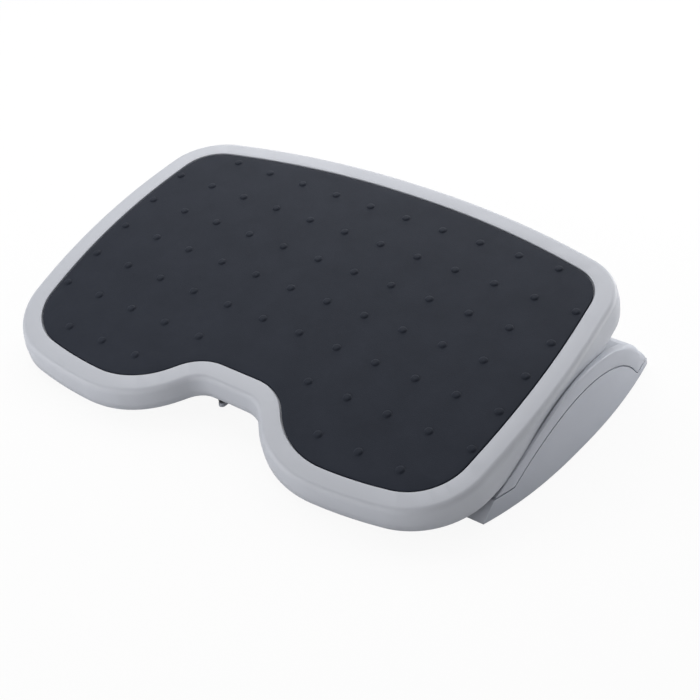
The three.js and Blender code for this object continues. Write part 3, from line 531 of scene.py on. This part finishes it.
# a matt white table top, whose painted share takes the shadow
bm = bmesh.new()
bmesh.ops.create_grid(bm, x_segments=2, y_segments=2, size=room["floorSize"] / 2)
floorObject = meshObject("floor", bm)
floorPaint = bpy.data.materials.new("floorPaint")
tree = emptyTree(floorPaint)
path = addNode(tree, "LightPath")
place = addNode(tree, "TexCoord").outputs["Object"]
away = addNode(tree, "VectorMath", {"operation": "LENGTH"}, {0: place})
level = addNode(tree, "MapRange",
                {"From Min": room["glowFrom"], "From Max": room["glowTo"],
                 "To Min": room["floorGlow"], "To Max": 1},
                {"Value": away.outputs["Value"]})
glow = addNode(tree, "Math", {"operation": "MULTIPLY"},
               {0: path.outputs["Is Camera Ray"], 1: level.outputs["Result"]})
paint = addNode(tree, "BsdfDiffuse", {"Color": linear(room["floor"])})
plain = addNode(tree, "Emission", {"Color": white, "Strength": 1})
mixed = addNode(tree, "MixShader",
                links={0: glow.outputs[0], 1: paint.outputs[0], 2: plain.outputs[0]})
addNode(tree, "OutputMaterial", links={"Surface": mixed.outputs[0]})
floorObject.data.materials.append(floorPaint)
scene.view_settings.view_transform = "Standard"
print("camera, floor and light ready")

# Rubber mat, in a pocket of the platform
mat = {
    # the outline on one side, from the middle of the back edge to the middle of the notch
    "outline": [(0, 166.2), (106.9, 166.2, 799), (233.91, 133.96, 42.2), (248.2, -4.96, 803),
                (232.01, -145.6, 55), (159.4, -159.36, 390), (88.49, -161.2, 79.8),
                (43.49, -106.5, 49), (0, -106.5)],
    "front": 160, "inset": 0.6, "thickness": 2.2, "edgeRound": 0.6, "edgeSteps": 5,
    "sharpAngle": 50,
    "nubPitchX": 42, "nubPitchY": 44.3, "nubHeight": 1.5, "nubReach": 4.13, "nubPower": 5,
    # a nub is lifted out of a square cell, whose mesh is round up to this share of it
    "nubCell": 5.5, "nubCuts": 15, "nubRoundTo": 0.8,
    # row, and its first and last column on one side, in pitches
    "rows": [(3, 0.5, 4.5), (2, 0.5, 5.5), (1, 0.5, 5.5), (0, 0.5, 5.5), (-1, 0.5, 5.5),
             (-2, 1.5, 5.5), (-3, 2.5, 4.5)],
}
nubs = [Vector((hand * column * mat["nubPitchX"], row * mat["nubPitchY"]))
        for row, first, last in mat["rows"]
        for column in [first + i for i in range(int(last - first) + 1)] for hand in (1, -1)]


def matRing(bm):
    drawLine(bm, mat["outline"])
    return mirrorLine(bm)


def outlineSolid(reach, low, high):
    # the mat's outline moved outwards and pulled up
    bm = bmesh.new()
    return slabSolid(bm, matRing(bm), reach, low, high)


def isNubCell(face):
    middle = face.calc_center_median()
    return abs(middle.z) < nearby and min((middle.xy - nub).length for nub in nubs) < 0.5


def buildMat():
    bm = bmesh.new()
    ring = matRing(bm)
    layer = outwardLayer(bm, ring)
    shiftVerts(bm.verts, layer, -mat["inset"], -mat["thickness"])
    r, cell = mat["edgeRound"], mat["nubCell"]
    edge = roundCorner((-r, -r), (r, r), 0, 90, mat["edgeSteps"])
    top = growRings(bm, ring, layer, [(0, -mat["thickness"]), *edge])
    capRing(bm, ring)
    capRing(bm, top)
    # slices part off the cells, and those between rows let the face bend to its crown
    for axis, pitch, count, offset in ((0, mat["nubPitchX"], 6, 0.5), (1, mat["nubPitchY"], 4, 0)):
        middles = {hand * (i + offset) * pitch for i in range(count) for hand in (1, -1)}
        cutAcross(bm, axis, sorted(middle + side for middle in middles for side in (-cell, cell)))
    cutAcross(bm, 1, [(row + 0.5) * mat["nubPitchY"] for row in range(-4, 4)])
    cells = [face for face in bm.faces if isNubCell(face)]
    edges = list({edge for face in cells for edge in face.edges})
    bmesh.ops.subdivide_edges(bm, edges=edges, cuts=mat["nubCuts"], use_grid_fill=True)
    for vert in bm.verts:
        if vert.co.z > -nearby:
            nub = min(nubs, key=lambda middle: (vert.co.xy - middle).length_squared)
            away = vert.co.xy - nub
            squareReach = max(abs(away.x), abs(away.y))
            if nearby < squareReach < cell - nearby:
                roundTo = mat["nubRoundTo"]
                square = min(1, max(0, (squareReach / cell - roundTo) / (1 - roundTo)))
                away = away.normalized() * squareReach * (1 - square) + away * square
                vert.co.xy = nub + away
            share = away.length / mat["nubReach"]
            vert.co.z += mat["nubHeight"] * max(0, 1 - share ** mat["nubPower"])
        vert.co.z += crown(vert.co.y)
    print("mat:", len(cells), "nubs")
    return meshObject("mat", bm)


finishPiece(buildMat(), "foot_mat", platformPlace, mat["sharpAngle"])

# The moulded shell that carries the mat: pocket, rim, skirt and deck
shell = {
    "fit": 0.7, "lip": 0.5, "lipRound": 0.7, "lipSteps": 4, "rimWidth": 15.2, "rimRound": 5.6,
    "rimRoundDrop": 5.6, "rimSteps": 10, "skirtReach": 22.2, "flareEnd": 16, "skirtDepth": 29.6,
    "notchRise": 5, "notchRiseReach": 100, "wall": 2.8, "deck": 2.8, "pocket": 2.5,
    # steps that round the fillet under the deck and the skirt's lower edge, inside and outside
    "fillet": [(-1.5, 0), (-0.4, -0.4), (0, -1.5)], "innerEdge": [(0, 0.7), (0.3, 0.1), (0.8, 0)],
    "outerEdge": [(-0.9, 0), (-0.3, 0.2), (0, 0.9)],
    "slicePitch": 12, "halfLength": 200, "heights": (-60, 20), "sharpAngle": 35,
}
deckUnder = -(shell["pocket"] + shell["deck"])


def notchLift(x, y):  # how much higher the skirt's lower edge is in the notch
    share = min(1, abs(x) / shell["notchRiseReach"]) if y < 0 else 1
    return shell["notchRise"] * cos(share * pi / 2) ** 2


def outerFace(z):
    shoulder = shell["rimWidth"] + shell["rimRound"]
    flare = (shell["skirtReach"] - shoulder) / (shell["flareEnd"] - shell["rimRoundDrop"])
    return min(shell["skirtReach"], shoulder - flare * (z + shell["rimRoundDrop"]))


def buildShell():
    bm = bmesh.new()
    ring = matRing(bm)
    layer = outwardLayer(bm, ring)
    fit, lip, lipRound = shell["fit"], shell["lip"], shell["lipRound"]
    rimRound, drop, depth = shell["rimRound"], shell["rimRoundDrop"], shell["skirtDepth"]
    outer, wall = outerFace(-depth), shell["wall"]
    section = [
        *stepsBy(outerFace(deckUnder) - wall, deckUnder, shell["fillet"]),
        (outer - wall, -shell["flareEnd"]), *stepsBy(outer - wall, -depth, shell["innerEdge"]),
        *stepsBy(outer, -depth, shell["outerEdge"]), (outer, -shell["flareEnd"]),
        *roundCorner((shell["rimWidth"], -drop), (rimRound, lip + drop), 0, 90, shell["rimSteps"]),
        *roundCorner((fit + lipRound, lip - lipRound), (lipRound, lipRound), 90, 180,
                     shell["lipSteps"]),
        (fit, -shell["pocket"]),
    ]
    shiftVerts(bm.verts, layer, *section[0])
    pocketFloor = growRings(bm, ring, layer, section)
    capRing(bm, ring)
    capRing(bm, pocketFloor)
    cutAcross(bm, 1, evenSteps(-shell["halfLength"], shell["halfLength"], shell["slicePitch"]))
    for vert in bm.verts:  # the deck and rim follow the crown, the skirt's lower edge lies level
        low = min(1, max(0, (deckUnder - vert.co.z) / (depth + deckUnder)))
        vert.co.z += crown(vert.co.y) * (1 - low) + notchLift(vert.co.x, vert.co.y) * low
    return meshObject("shell", bm)


bracket = {
    "halfWidth": 26.5, "y": (1, 73), "plate": 3, "gap": 0.3, "earGap": 13.8, "ear": 4,
    "earRadius": 10, "earRoot": 19, "pinHole": 4.2,
    "heel": (9, 56, 70), "heelLift": 2,  # half width, front and back, and lift over the axis
    "screwsX": (-22, 22), "screwsY": (9, 63), "screwHole": 1.7, "screwTop": -4.9,
}
bracketScrews = [(x, y) for x in bracket["screwsX"] for y in bracket["screwsY"]]
deckRibs = {
    "thickness": 2.4, "depth": 6, "x": (0, 73.05, -73.05, 206.98, -206.98),
    "y": (-74.79, 8.31, 116.34), "halfWidth": 280, "intoWall": 1.5, "bay": 4, "padDepth": 4.4,
    "edge": 0.5,
}
bumper = {
    "x": 24, "y": -116.1, "drop": 35.6, "dome": 8, "domeAngles": (0, 6, 12, 18, 22),
    "waist": [(3.7, -6.7), (4, -6), (4.2, 0.5)], "radius": 6, "shoulder": 2.5, "neck": 7,
    "neckEdge": [(0, -0.5), (-0.5, 0)], "stem": 2.6, "stemLength": 8, "stemFit": 0.2,
    "stemEdge": [(0, -0.6), (-0.6, 0)], "boss": 7.6, "bossRoot": 1, "gap": 0.3,
}
padUnder = deckUnder - deckRibs["padDepth"]
neckTop = bumper["neck"] - bumper["drop"]


def crownedBar(low, high, underZ):
    # a rib or pad whose top runs in the middle of the deck
    bm = cubeBetween((*low, 0), (*high, 1))
    cutAcross(bm, 1, evenSteps(low[1], high[1], shell["slicePitch"])[1:-1])
    topZ = deckUnder + shell["deck"] / 2
    for vert in bm.verts:
        vert.co.z = topZ + crown(vert.co.y) if vert.co.z > 0.5 else underZ
    return meshObject("bar", bm)


def buildUnderside():
    half, long, wide = deckRibs["thickness"] / 2, shell["halfLength"], deckRibs["halfWidth"]
    under = deckUnder - deckRibs["depth"]
    bay, padHalf = deckRibs["bay"], bracket["halfWidth"]
    (front, back), (low, high) = bracket["y"], shell["heights"]
    ribs = [crownedBar((x - half, -long), (x + half, long), under) for x in deckRibs["x"]]
    ribs += [crownedBar((-wide, y - half), (wide, y + half), under) for y in deckRibs["y"]]
    made = plus(*ribs)
    for hand in (-1, 1):
        x = hand * rest["pivotX"]
        made = less(made, boxSolid((x - padHalf - bay, front - bay, low),
                                   (x + padHalf + bay, back + bay, high)))
        made = plus(made, crownedBar((x - padHalf, front), (x + padHalf, back), padUnder))
        bossTop = deckUnder + bumper["bossRoot"] + crown(bumper["y"])
        made = plus(made, rodSolid(hand * bumper["x"], bumper["y"], neckTop + bumper["gap"],
                                   bossTop, bumper["boss"], count=48))
    reach = shell["skirtReach"] - deckRibs["intoWall"] - shell["wall"]
    return softEdges(only(made, outlineSolid(reach, low, high)), deckRibs["edge"])


def drillShell(made):
    low, fit = shell["heights"][0], bumper["stemFit"]
    for hand in (-1, 1):
        for x, y in bracketScrews:
            made = less(made, rodSolid(hand * (rest["pivotX"] + x), y, low, bracket["screwTop"],
                                       bracket["screwHole"], count=16))
        made = less(made, rodSolid(hand * bumper["x"], bumper["y"], low,
                                   neckTop + bumper["stemLength"] + fit, bumper["stem"] + fit,
                                   count=24))
    return made


finishPiece(drillShell(plus(buildShell(), buildUnderside())), "platform_shell", platformPlace,
            shell["sharpAngle"])
print("mat and shell ready")

# Side pods: an arched housing over a lower cheek, parted by a seam
pod = {
    "inner": 205, "bulge": 273.4, "bulgeY": 38.5, "bulgeReach": 150, "frontDrop": 15,
    "backDrop": 14.3, "frontPower": 2.7, "backPower": 2, "draft": 0.05, "front": 115.6,
    "back": 182.05, "floorGap": 1.5, "belowFloor": 12, "stripHeight": 19.8, "stripLean": 12.6,
    "lipHeight": 9.5, "lipLean": 3.2, "arch": [(13.27, 98.9, 161), (150.81, 44.28, 165.3)],
    "seam": [(-78.43, 19.8, 3), (34.9, 112.02, 161), (149.46, 9.5, 3)], "seamRun": 24,
    "seamGap": 1.5, "tongue": 3.5, "tongueDepth": 8, "cheekWall": 2.8, "housingWall": 2.4,
    "lipWall": 1.2, "skirtClear": 0.25, "ledgeClear": 2, "ledgePitch": 12, "housingFoot": 7.3,
    "housingEdge": 0.3, "cutterX": (-5, 320),
    "slicePitch": 9, "sliceY": (-140, 200), "planY": (-160, 220), "roundSteps": 8,
    # rounding of the long outer edge: y, width
    "rounding": [(-130, 0.8), (90, 0.8), (145, 7), (162, 9), (174, 3), (190, 1.2)],
}
posts = {"radius": 4.2, "foot": 12.3, "height": 14, "pilot": 1.7, "pilotTop": 16.9, "web": 1.4}


def sideX(y, z, inset=0):
    end = "front" if y < pod["bulgeY"] else "back"
    share = abs(y - pod["bulgeY"]) / pod["bulgeReach"]
    drop = pod[end + "Drop"] * share ** pod[end + "Power"]
    return pod["bulge"] - drop - pod["draft"] * z - inset


def roundingAt(y):
    table = pod["rounding"]
    for (fromY, fromWidth), (toY, toWidth) in zip(table, table[1:]):
        if y <= toY:
            share = min(1, max(0, (y - fromY) / (toY - fromY)))
            return fromWidth + (toWidth - fromWidth) * share * share * (3 - 2 * share)
    return table[-1][1]


def podSolid(inset, inner, rounded=False):
    # drawn in side view, pulled out to the side and there closed by a curved, leaning face. While
    # it is drawn, heights over sideMark count the steps of the rounding
    front, back, deep, sideMark = pod["front"], pod["back"], pod["belowFloor"], 1000
    bm = bmesh.new()
    drawLine(bm, [(-(front + pod["stripLean"] / pod["stripHeight"] * deep), -deep),
                  (-(front - pod["stripLean"]), pod["stripHeight"], 0), *pod["arch"],
                  (back - pod["lipLean"], pod["lipHeight"], 0),
                  (back + pod["lipLean"] / pod["lipHeight"] * deep, -deep)])
    first = closeRing(bm)
    layer = outwardLayer(bm, first)
    shiftVerts(bm.verts, layer, -inset, inner)
    ring = growRing(bm, first, layer, 0, sideMark - inner)
    count = pod["roundSteps"] if rounded else 0
    for step in range(count):
        gone = cos(radians(90 * step / count)) - cos(radians(90 * (step + 1) / count))
        ring = growRing(bm, ring, layer, lambda vert: -gone * roundingAt(vert.co.x), 1)
    capRing(bm, first)
    capRing(bm, ring)
    cutAcross(bm, 0, evenSteps(*pod["sliceY"], pod["slicePitch"]))
    for vert in bm.verts:
        y, z, level = vert.co
        if level > sideMark - 1:
            turn = radians(90 * (level - sideMark) / count) if count else pi / 2
            vert.co.z = sideX(y, z, inset) - roundingAt(y) * (1 - sin(turn))
    applyMatrix(bm, acrossTurn)
    return meshObject("pod", bm)


def beyondLine(line, rise, above):
    # all over or under a line in side view
    level = farAlong if above else -farAlong
    line = [(y, z + rise, radius) for y, z, radius in line]
    return acrossSolid(line, *pod["cutterX"], [(line[-1][0], level), (line[0][0], level)])


def seamSide(rise, above):
    front, back = -(pod["front"] + pod["seamRun"]), pod["back"] + pod["seamRun"]
    return beyondLine([(front, pod["stripHeight"], 0), *pod["seam"], (back, pod["lipHeight"], 0)],
                      rise, above)


def ledgeSide(rise, above):
    # the line that the housing's top keeps to, clear of the skirt at every slope
    outline, reach, depth = mat["outline"], shell["skirtReach"], shell["skirtDepth"]
    front, back = -(mat["front"] + reach), outline[0][1] + reach
    line = []
    for y in evenSteps(front, back, pod["ledgePitch"]):
        lowY, lowZ = (atRest(y, -depth) if y < rest["pivotY"]
                      else (y - rest["pivotY"] + pivotAtY, levelMatHeight - depth))
        line.append((lowY, lowZ - pod["ledgeClear"], 0))
    return beyondLine(line, rise, above)


def skirtPath():
    # what the skirt and the room beside it pass through between the two end slopes
    columns = []
    for turn, y, z in ((slope, rest["matCentreY"], rest["matHeight"]),
                       (0, pivotAtY - rest["pivotY"], levelMatHeight)):
        column = outlineSolid(shell["skirtReach"] + pod["skirtClear"], -farOut, farOut)
        column.data.transform(Matrix.Translation((0, y, z)) @ Matrix.Rotation(turn, 4, "X"))
        columns.append(column)
    return plus(*columns)


def planSolid(inset):
    # all inside the pod's leaning side
    front, back = pod["planY"]
    bm = cubeBetween((0, front, -farAlong), (farOut, back, farAlong))
    cutAcross(bm, 1, evenSteps(front, back, pod["slicePitch"])[1:-1])
    for vert in bm.verts:
        if vert.co.x > pod["inner"]:
            vert.co.x = sideX(vert.co.y, vert.co.z, inset)
    return meshObject("plan", bm)


def pilotHole(x, y):
    return rodSolid(x, y, -5, posts["pilotTop"], posts["pilot"], count=16)


def placeOf(node):
    low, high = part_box(node)
    return [(a + b) / 2 / millimetre for a, b in zip(low, high)]


housingPosts = [placeOf(f"housing_screw_{i}")[:2] for i in (1, 3, 5)]
cheekPosts = [placeOf(f"cheek_screw_{i}")[:2] for i in (1, 3, 5)]


def buildHousing():
    tongue, wall, inner = pod["tongue"], pod["housingWall"], pod["inner"]
    skin = only(podSolid(0, inner, True), seamSide(pod["seamGap"], True))
    lap = only(podSolid(tongue, inner), seamSide(-pod["tongueDepth"], True))
    innerWall = only(podSolid(tongue, inner),
                     boxSolid((inner, -farAlong, 0), (inner + wall, farAlong, farAlong)))
    inside = only(podSolid(tongue + wall, inner + wall), ledgeSide(-wall, False))
    sweep = only(planSolid(pod["lipWall"]), skirtPath(), ledgeSide(0, True))
    made = less(plus(skin, lap, innerWall), inside, sweep)
    made = only(made, rightHalf(pod["housingFoot"]))
    for x, y in housingPosts:
        post = only(rodSolid(x, y, posts["foot"], farAlong, posts["radius"]),
                    podSolid(wall / 2, inner), ledgeSide(-wall / 2, False))
        made = less(plus(made, post), pilotHole(x, y))
    return softEdges(made, pod["housingEdge"])


def buildCheek():
    wall, foot, web = pod["cheekWall"], posts["foot"], posts["web"]
    made = only(podSolid(0, pod["inner"]), seamSide(0, False), rightHalf(pod["floorGap"]))
    made = less(made, podSolid(wall, 0))
    for x, y in cheekPosts:
        top = foot + posts["height"]
        rib = boxSolid((x, y - web, foot), (sideX(y, top, web), y + web, top))
        made = less(plus(made, rodSolid(x, y, foot, top, posts["radius"]), rib), pilotHole(x, y))
    return softEdges(made)


finishPair(buildHousing(), "arch_housing")
finishPair(buildCheek(), "side_cheek")
print("side pods ready")

# Tray that ties the pods together, on rubber feet
tray = {
    "under": 4, "top": 7, "edge": 9.5, "frontEdge": 8, "half": 204.7, "podInset": 3.1, "lap": 12,
    "bay": (139.4, 60), "corner": (188.6, -109.3, 60), "backY": 220, "insideTop": 60,
    "tabReach": 14.1, "tabTop": 7.55, "tabHalfWidth": 3.2,
    "wall": 2.6, "rib": 2.4, "ribRoot": 1, "ribTop": 11.5, "ribShares": (-0.42, -0.12, 0.62),
    "well": 5.6, "wellTop": 12, "wellSeat": 7, "shankHole": 1.7, "headHole": 3.8, "stemHole": 3.3,
    "drillTop": 20, "towerScrewX": (133.6, 166.4), "towerScrewY": (-6.71, 80.09),
    "footX": 228, "footY": {"front": -88, "rear": 153.85},
}
towerScrews = [(x, y) for y in tray["towerScrewY"] for x in tray["towerScrewX"]]
tabFront = atRest(bumper["y"], -bumper["drop"])[0] - bumper["stem"]
trayFrontY = tabFront + tray["tabReach"]


def traySolid(half, inset, low, high):
    bayX, bayRadius = tray["bay"]
    backY, cornerY = tray["backY"], tray["corner"][1]
    bm = bmesh.new()
    drawLine(bm, [(0, trayFrontY), (bayX, trayFrontY, bayRadius), tray["corner"],
                  (half, cornerY, 0), (half, backY, 0), (0, backY)])
    return slabSolid(bm, mirrorLine(bm), -inset, low, high)


def mirrored(made):
    bm = bmesh.new()
    bm.from_mesh(made.data)
    bmesh.ops.scale(bm, verts=bm.verts, vec=(-1, 1, 1))
    return meshObject("mirrored", bm)


def buildTray():
    half, under, top, wall = tray["half"], tray["under"], tray["top"], tray["wall"]
    lap, rib, drillTop = tray["lap"], tray["rib"] / 2, tray["drillTop"]
    made = only(traySolid(half, 0, under, tray["edge"]), podSolid(0, -pod["cutterX"][1]))
    inside = only(traySolid(half + lap, wall, top, tray["insideTop"]),
                  boxSolid((-farAlong, -farAlong, 0),
                           (farAlong, pod["back"] - pod["lipLean"] - wall, farAlong)))
    made = less(made, inside, boxSolid((-half, -farAlong, tray["frontEdge"]), (half, 0, farAlong)))
    for share in tray["ribShares"]:
        y = share * pod["back"]
        made = plus(made, boxSolid((-half, y - rib, top - tray["ribRoot"]),
                                   (half, y + rib, tray["ribTop"])))
    floorPlate = only(podSolid(tray["podInset"], pod["inner"] - lap), rightHalf(under, top))
    made = plus(made, mirrored(floorPlate), floorPlate)
    wells = housingPosts + cheekPosts + towerScrews
    for hand in (-1, 1):
        x, tab, tabTop = hand * bumper["x"], tray["tabHalfWidth"], tray["tabTop"]
        made = plus(made, rodSolid(x, tabFront + tab, under, tabTop, tab),
                    boxSolid((x - tab, tabFront + tab, under),
                             (x + tab, trayFrontY + wall, tabTop)))
        for x, y in wells:
            made = plus(made, rodSolid(hand * x, y, under, tray["wellTop"], tray["well"], count=40))
    for hand in (-1, 1):
        for x, y in wells:
            made = less(made, rodSolid(hand * x, y, 0, drillTop, tray["shankHole"], count=20),
                        rodSolid(hand * x, y, 0, tray["wellSeat"], tray["headHole"]))
        for y in tray["footY"].values():
            made = less(made, rodSolid(hand * tray["footX"], y, 0, drillTop, tray["stemHole"]))
    return softEdges(made)


finishPiece(buildTray(), "base_tray")

# a shallow cup in the sole, and a barb that holds it in the tray
foot = {
    "radius": 11, "height": 3.7, "cup": 6.2, "cupDepth": 0.6, "cupRim": 7,
    "soleEdge": [(-0.7, 0), (-0.2, 0.2), (0, 0.7)], "topEdge": [(0, -0.7), (-0.2, -0.2), (-0.7, 0)],
    "stem": 3, "barb": 3.8, "barbLow": 7.3, "barbHigh": 7.7, "stemTop": 9.3,
}
footSection = [
    (0, foot["cupDepth"]), (foot["cup"], foot["cupDepth"]), (foot["cupRim"], 0),
    *stepsBy(foot["radius"], 0, foot["soleEdge"]),
    *stepsBy(foot["radius"], foot["height"], foot["topEdge"]),
    (foot["stem"], foot["height"]), (foot["stem"], foot["barbLow"]),
    (foot["barb"], foot["barbLow"]), (foot["barb"], foot["barbHigh"]),
    (foot["stem"], foot["stemTop"]), (0, foot["stemTop"]),
]
for end, y in tray["footY"].items():
    finishPair(spunSolid(footSection), f"{end}_foot", Matrix.Translation((tray["footX"], y, 0)))
print("tray and feet ready")

# Hinges: a bearing tower on the tray, and a forked bracket under the deck. Boxes about the middle
# of the hinge are half width, front, back, low and high
tower = {
    "halfWidth": 12, "side": [(-3.31, 14.8), (14.69, 67.92, 10), (38.69, 67.92, 10),
                              (38.69, 54.72, 3), (71.69, 54.72, 3), (76.69, 14.8)],
    "flange": (22, -12.31, 85.69, 12.3, 17.3), "bore": 6.4, "boreHalf": 30, "edge": 0.6,
    "pocket": (7.8, 54.89, 66.49, 53.32, 90), "pad": (7.5, 55.19, 66.19, 53.62, 57.62),
    "padEdge": 0.7,
}
hinge = {
    "bushBore": 4.3, "bush": 6.2, "bushHalf": 12, "washer": 9, "washerNear": 12.3,
    "washerFar": 13.5, "pin": 4, "head": 6.5, "headNear": 18.1, "headFar": 20.7,
    "headEdge": [(-0.8, 0), (-0.2, -0.3), (0, -0.9)], "headUnder": [(0, 0.2), (-0.2, 0)],
    "groove": 3.2, "grooveNear": -18.0, "grooveFar": -19.4, "tail": -22.4,
    "tailEdge": [(0, 0.8), (-0.8, 0)], "clipBore": 3.4, "clip": 6.4, "clipNear": -18.1,
    "clipFar": -19.3, "clipEdge": 0.15, "clipMouth": 1.955,
}
hingePlace = Matrix.Translation((rest["pivotX"], pivotAtY, pivotAtZ))
baseHinge = hingePlace @ acrossTurn
platformHinge = hingePlace @ Matrix.Rotation(slope, 4, "X") @ acrossTurn


def hingeBox(half, front, back, low, high):
    return boxSolid((rest["pivotX"] - half, front, low), (rest["pivotX"] + half, back, high))


def buildTower():
    x, half, boreHalf = rest["pivotX"], tower["halfWidth"], tower["boreHalf"]
    made = acrossSolid(tower["side"], x - half, x + half)
    made = plus(made, hingeBox(*tower["flange"]))
    made = less(made, rodAcross(x - boreHalf, x + boreHalf, pivotAtY, pivotAtZ, tower["bore"]),
                hingeBox(*tower["pocket"]))
    for place in towerScrews:
        made = less(made, pilotHole(*place))
    return softEdges(made, tower["edge"])


def buildBracket():
    x, half, root = rest["pivotX"], bracket["halfWidth"], bracket["earRoot"]
    top = padUnder - bracket["gap"]
    under = top - bracket["plate"]
    middle = under + bracket["plate"] / 2
    made = hingeBox(half, *bracket["y"], under, top)
    y, z, r = rest["pivotY"], -rest["pivotDrop"], bracket["earRadius"]
    ear = [(y - root, middle), (y - r, z - r, r), (y + r, z - r, r), (y + root, middle)]
    for hand in (-1, 1):
        near = x + hand * bracket["earGap"]
        far = x + hand * (bracket["earGap"] + bracket["ear"])
        made = plus(made, acrossSolid(ear, min(near, far), max(near, far)))
    made = plus(made, hingeBox(*bracket["heel"], z + bracket["heelLift"], middle))
    made = less(made, rodAcross(x - half, x + half, y, z, bracket["pinHole"]))
    for screwX, screwY in bracketScrews:
        made = less(made, rodSolid(x + screwX, screwY, *shell["heights"], bracket["screwHole"],
                                   count=20))
    return softEdges(made, deckRibs["edge"])


def ringSolid(inner, outer, near, far, edge=0.3):
    # a turned ring with bevelled edges
    return spunSolid([(inner, near + edge), (inner + edge, near), (outer - edge, near),
                      (outer, near + edge), (outer, far - edge), (outer - edge, far),
                      (inner + edge, far), (inner, far - edge)], closed=True)


def buildClip():
    mouth, outer = hinge["clipMouth"], hinge["clip"]
    made = ringSolid(hinge["clipBore"], outer, hinge["clipFar"], hinge["clipNear"],
                     hinge["clipEdge"])
    return less(made, boxSolid((0, -mouth, 2 * hinge["tail"]), (2 * outer, mouth, 0)))


pinSection = [
    (0, hinge["headFar"]), *stepsBy(hinge["head"], hinge["headFar"], hinge["headEdge"]),
    *stepsBy(hinge["head"], hinge["headNear"], hinge["headUnder"]),
    (hinge["pin"], hinge["headNear"]), (hinge["pin"], hinge["grooveNear"]),
    (hinge["groove"], hinge["grooveNear"]), (hinge["groove"], hinge["grooveFar"]),
    (hinge["pin"], hinge["grooveFar"]), *stepsBy(hinge["pin"], hinge["tail"], hinge["tailEdge"]),
    (0, hinge["tail"]),
]
finishPair(buildTower(), "pivot_tower")
finishPair(softEdges(hingeBox(*tower["pad"]), tower["padEdge"], 3), "stop_pad")
finishPair(ringSolid(hinge["bushBore"], hinge["bush"], -hinge["bushHalf"], hinge["bushHalf"]),
           "pivot_bush", baseHinge)
finishPair(buildBracket(), "hinge_bracket", platformPlace)
finishPair(spunSolid(pinSection), "pivot_pin", platformHinge)
finishPair(buildClip(), "pin_clip", platformHinge)
near, far = hinge["washerNear"], hinge["washerFar"]
for name, low, high in (("outer_washer", near, far), ("inner_washer", -far, -near)):
    finishPair(ringSolid(hinge["bushBore"], hinge["washer"], low, high), name, platformHinge)

# a moulded dome on a neck, pressed into its boss
stemTop = bumper["neck"] + bumper["stemLength"]
bumperSection = [
    *((bumper["dome"] * sin(radians(a)), -bumper["dome"] * cos(radians(a)))
      for a in bumper["domeAngles"]),
    *bumper["waist"], (bumper["radius"], bumper["shoulder"]),
    *stepsBy(bumper["radius"], bumper["neck"], bumper["neckEdge"]),
    (bumper["stem"], bumper["neck"]), *stepsBy(bumper["stem"], stemTop, bumper["stemEdge"]),
    (0, stemTop),
]
finishPair(spunSolid(bumperSection), "front_bumper",
           platformPlace @ Matrix.Translation((bumper["x"], bumper["y"], -bumper["drop"])))
print("hinges and bumpers ready")

# Pan-head screws with a cross recess, and a thread drawn as rings, 1.2 mm apart as on the real ones
screw = {
    "head": 3.4, "headHeight": 2.2, "headEdge": [(-1.4, 0), (-0.5, 0.3), (0, 1)],
    "headUnder": [(0, -0.2), (-0.2, 0)], "shank": 1.5, "core": 1.15,
    # rings start at threadFrom, and toothUp, toothTop and toothEnd are heights in one ring
    "pitch": 1.2, "threadFrom": 0.6, "toothUp": 0.4, "toothTop": 0.75, "toothEnd": 0.85,
    "plain": 3, "point": [(0, -2), (0, -1.4)], "tip": 0.3,
    "recessReach": 2.1, "recessHalf": 0.42, "recessDepth": 1.2,
    "baseLow": 4.5, "baseLength": 12.2, "bracketLow": -15.5, "bracketLength": 10.4,
    "counts": {"tower": 8, "housing": 6, "cheek": 6},
}


def buildScrew(length):
    head, shank, core, top = screw["head"], screw["shank"], screw["core"], screw["headHeight"]
    section = [(0, 0), *stepsBy(head, 0, screw["headEdge"]),
               *stepsBy(head, top, screw["headUnder"]), (shank, top)]
    for i in range(int((length - top - screw["plain"]) / screw["pitch"])):
        z = top + screw["threadFrom"] + i * screw["pitch"]
        section += [(core, z), (core, z + screw["toothUp"]), (shank, z + screw["toothTop"]),
                    (shank, z + screw["toothEnd"])]
    section += [*stepsBy(core, length, screw["point"]), (screw["tip"], length), (0, length)]
    reach, half, deep = screw["recessReach"], screw["recessHalf"], screw["recessDepth"]
    return less(spunSolid(section, 24), boxSolid((-reach, -half, -1), (reach, half, deep)),
                boxSolid((-half, -reach, -1), (half, reach, deep)))


def finishScrews(length, low, places, transform=unturned):
    made = buildScrew(length)
    for node, (x, y) in places.items():
        finishPiece(newObject(node, made.data), node, transform @ Matrix.Translation((x, y, low)))
    bpy.data.objects.remove(made)


baseScrews = [f"{name}_screw_{i + 1}" for name, count in screw["counts"].items()
              for i in range(count)]
deckScrews = [(hand * (rest["pivotX"] + x), y) for x, y in bracketScrews for hand in (1, -1)]
finishScrews(screw["baseLength"], screw["baseLow"],
             {node: placeOf(node)[:2] for node in baseScrews})
finishScrews(screw["bracketLength"], screw["bracketLow"],
             {f"bracket_screw_{i + 1}": place for i, place in enumerate(deckScrews)},
             platformPlace)
print("screws ready")
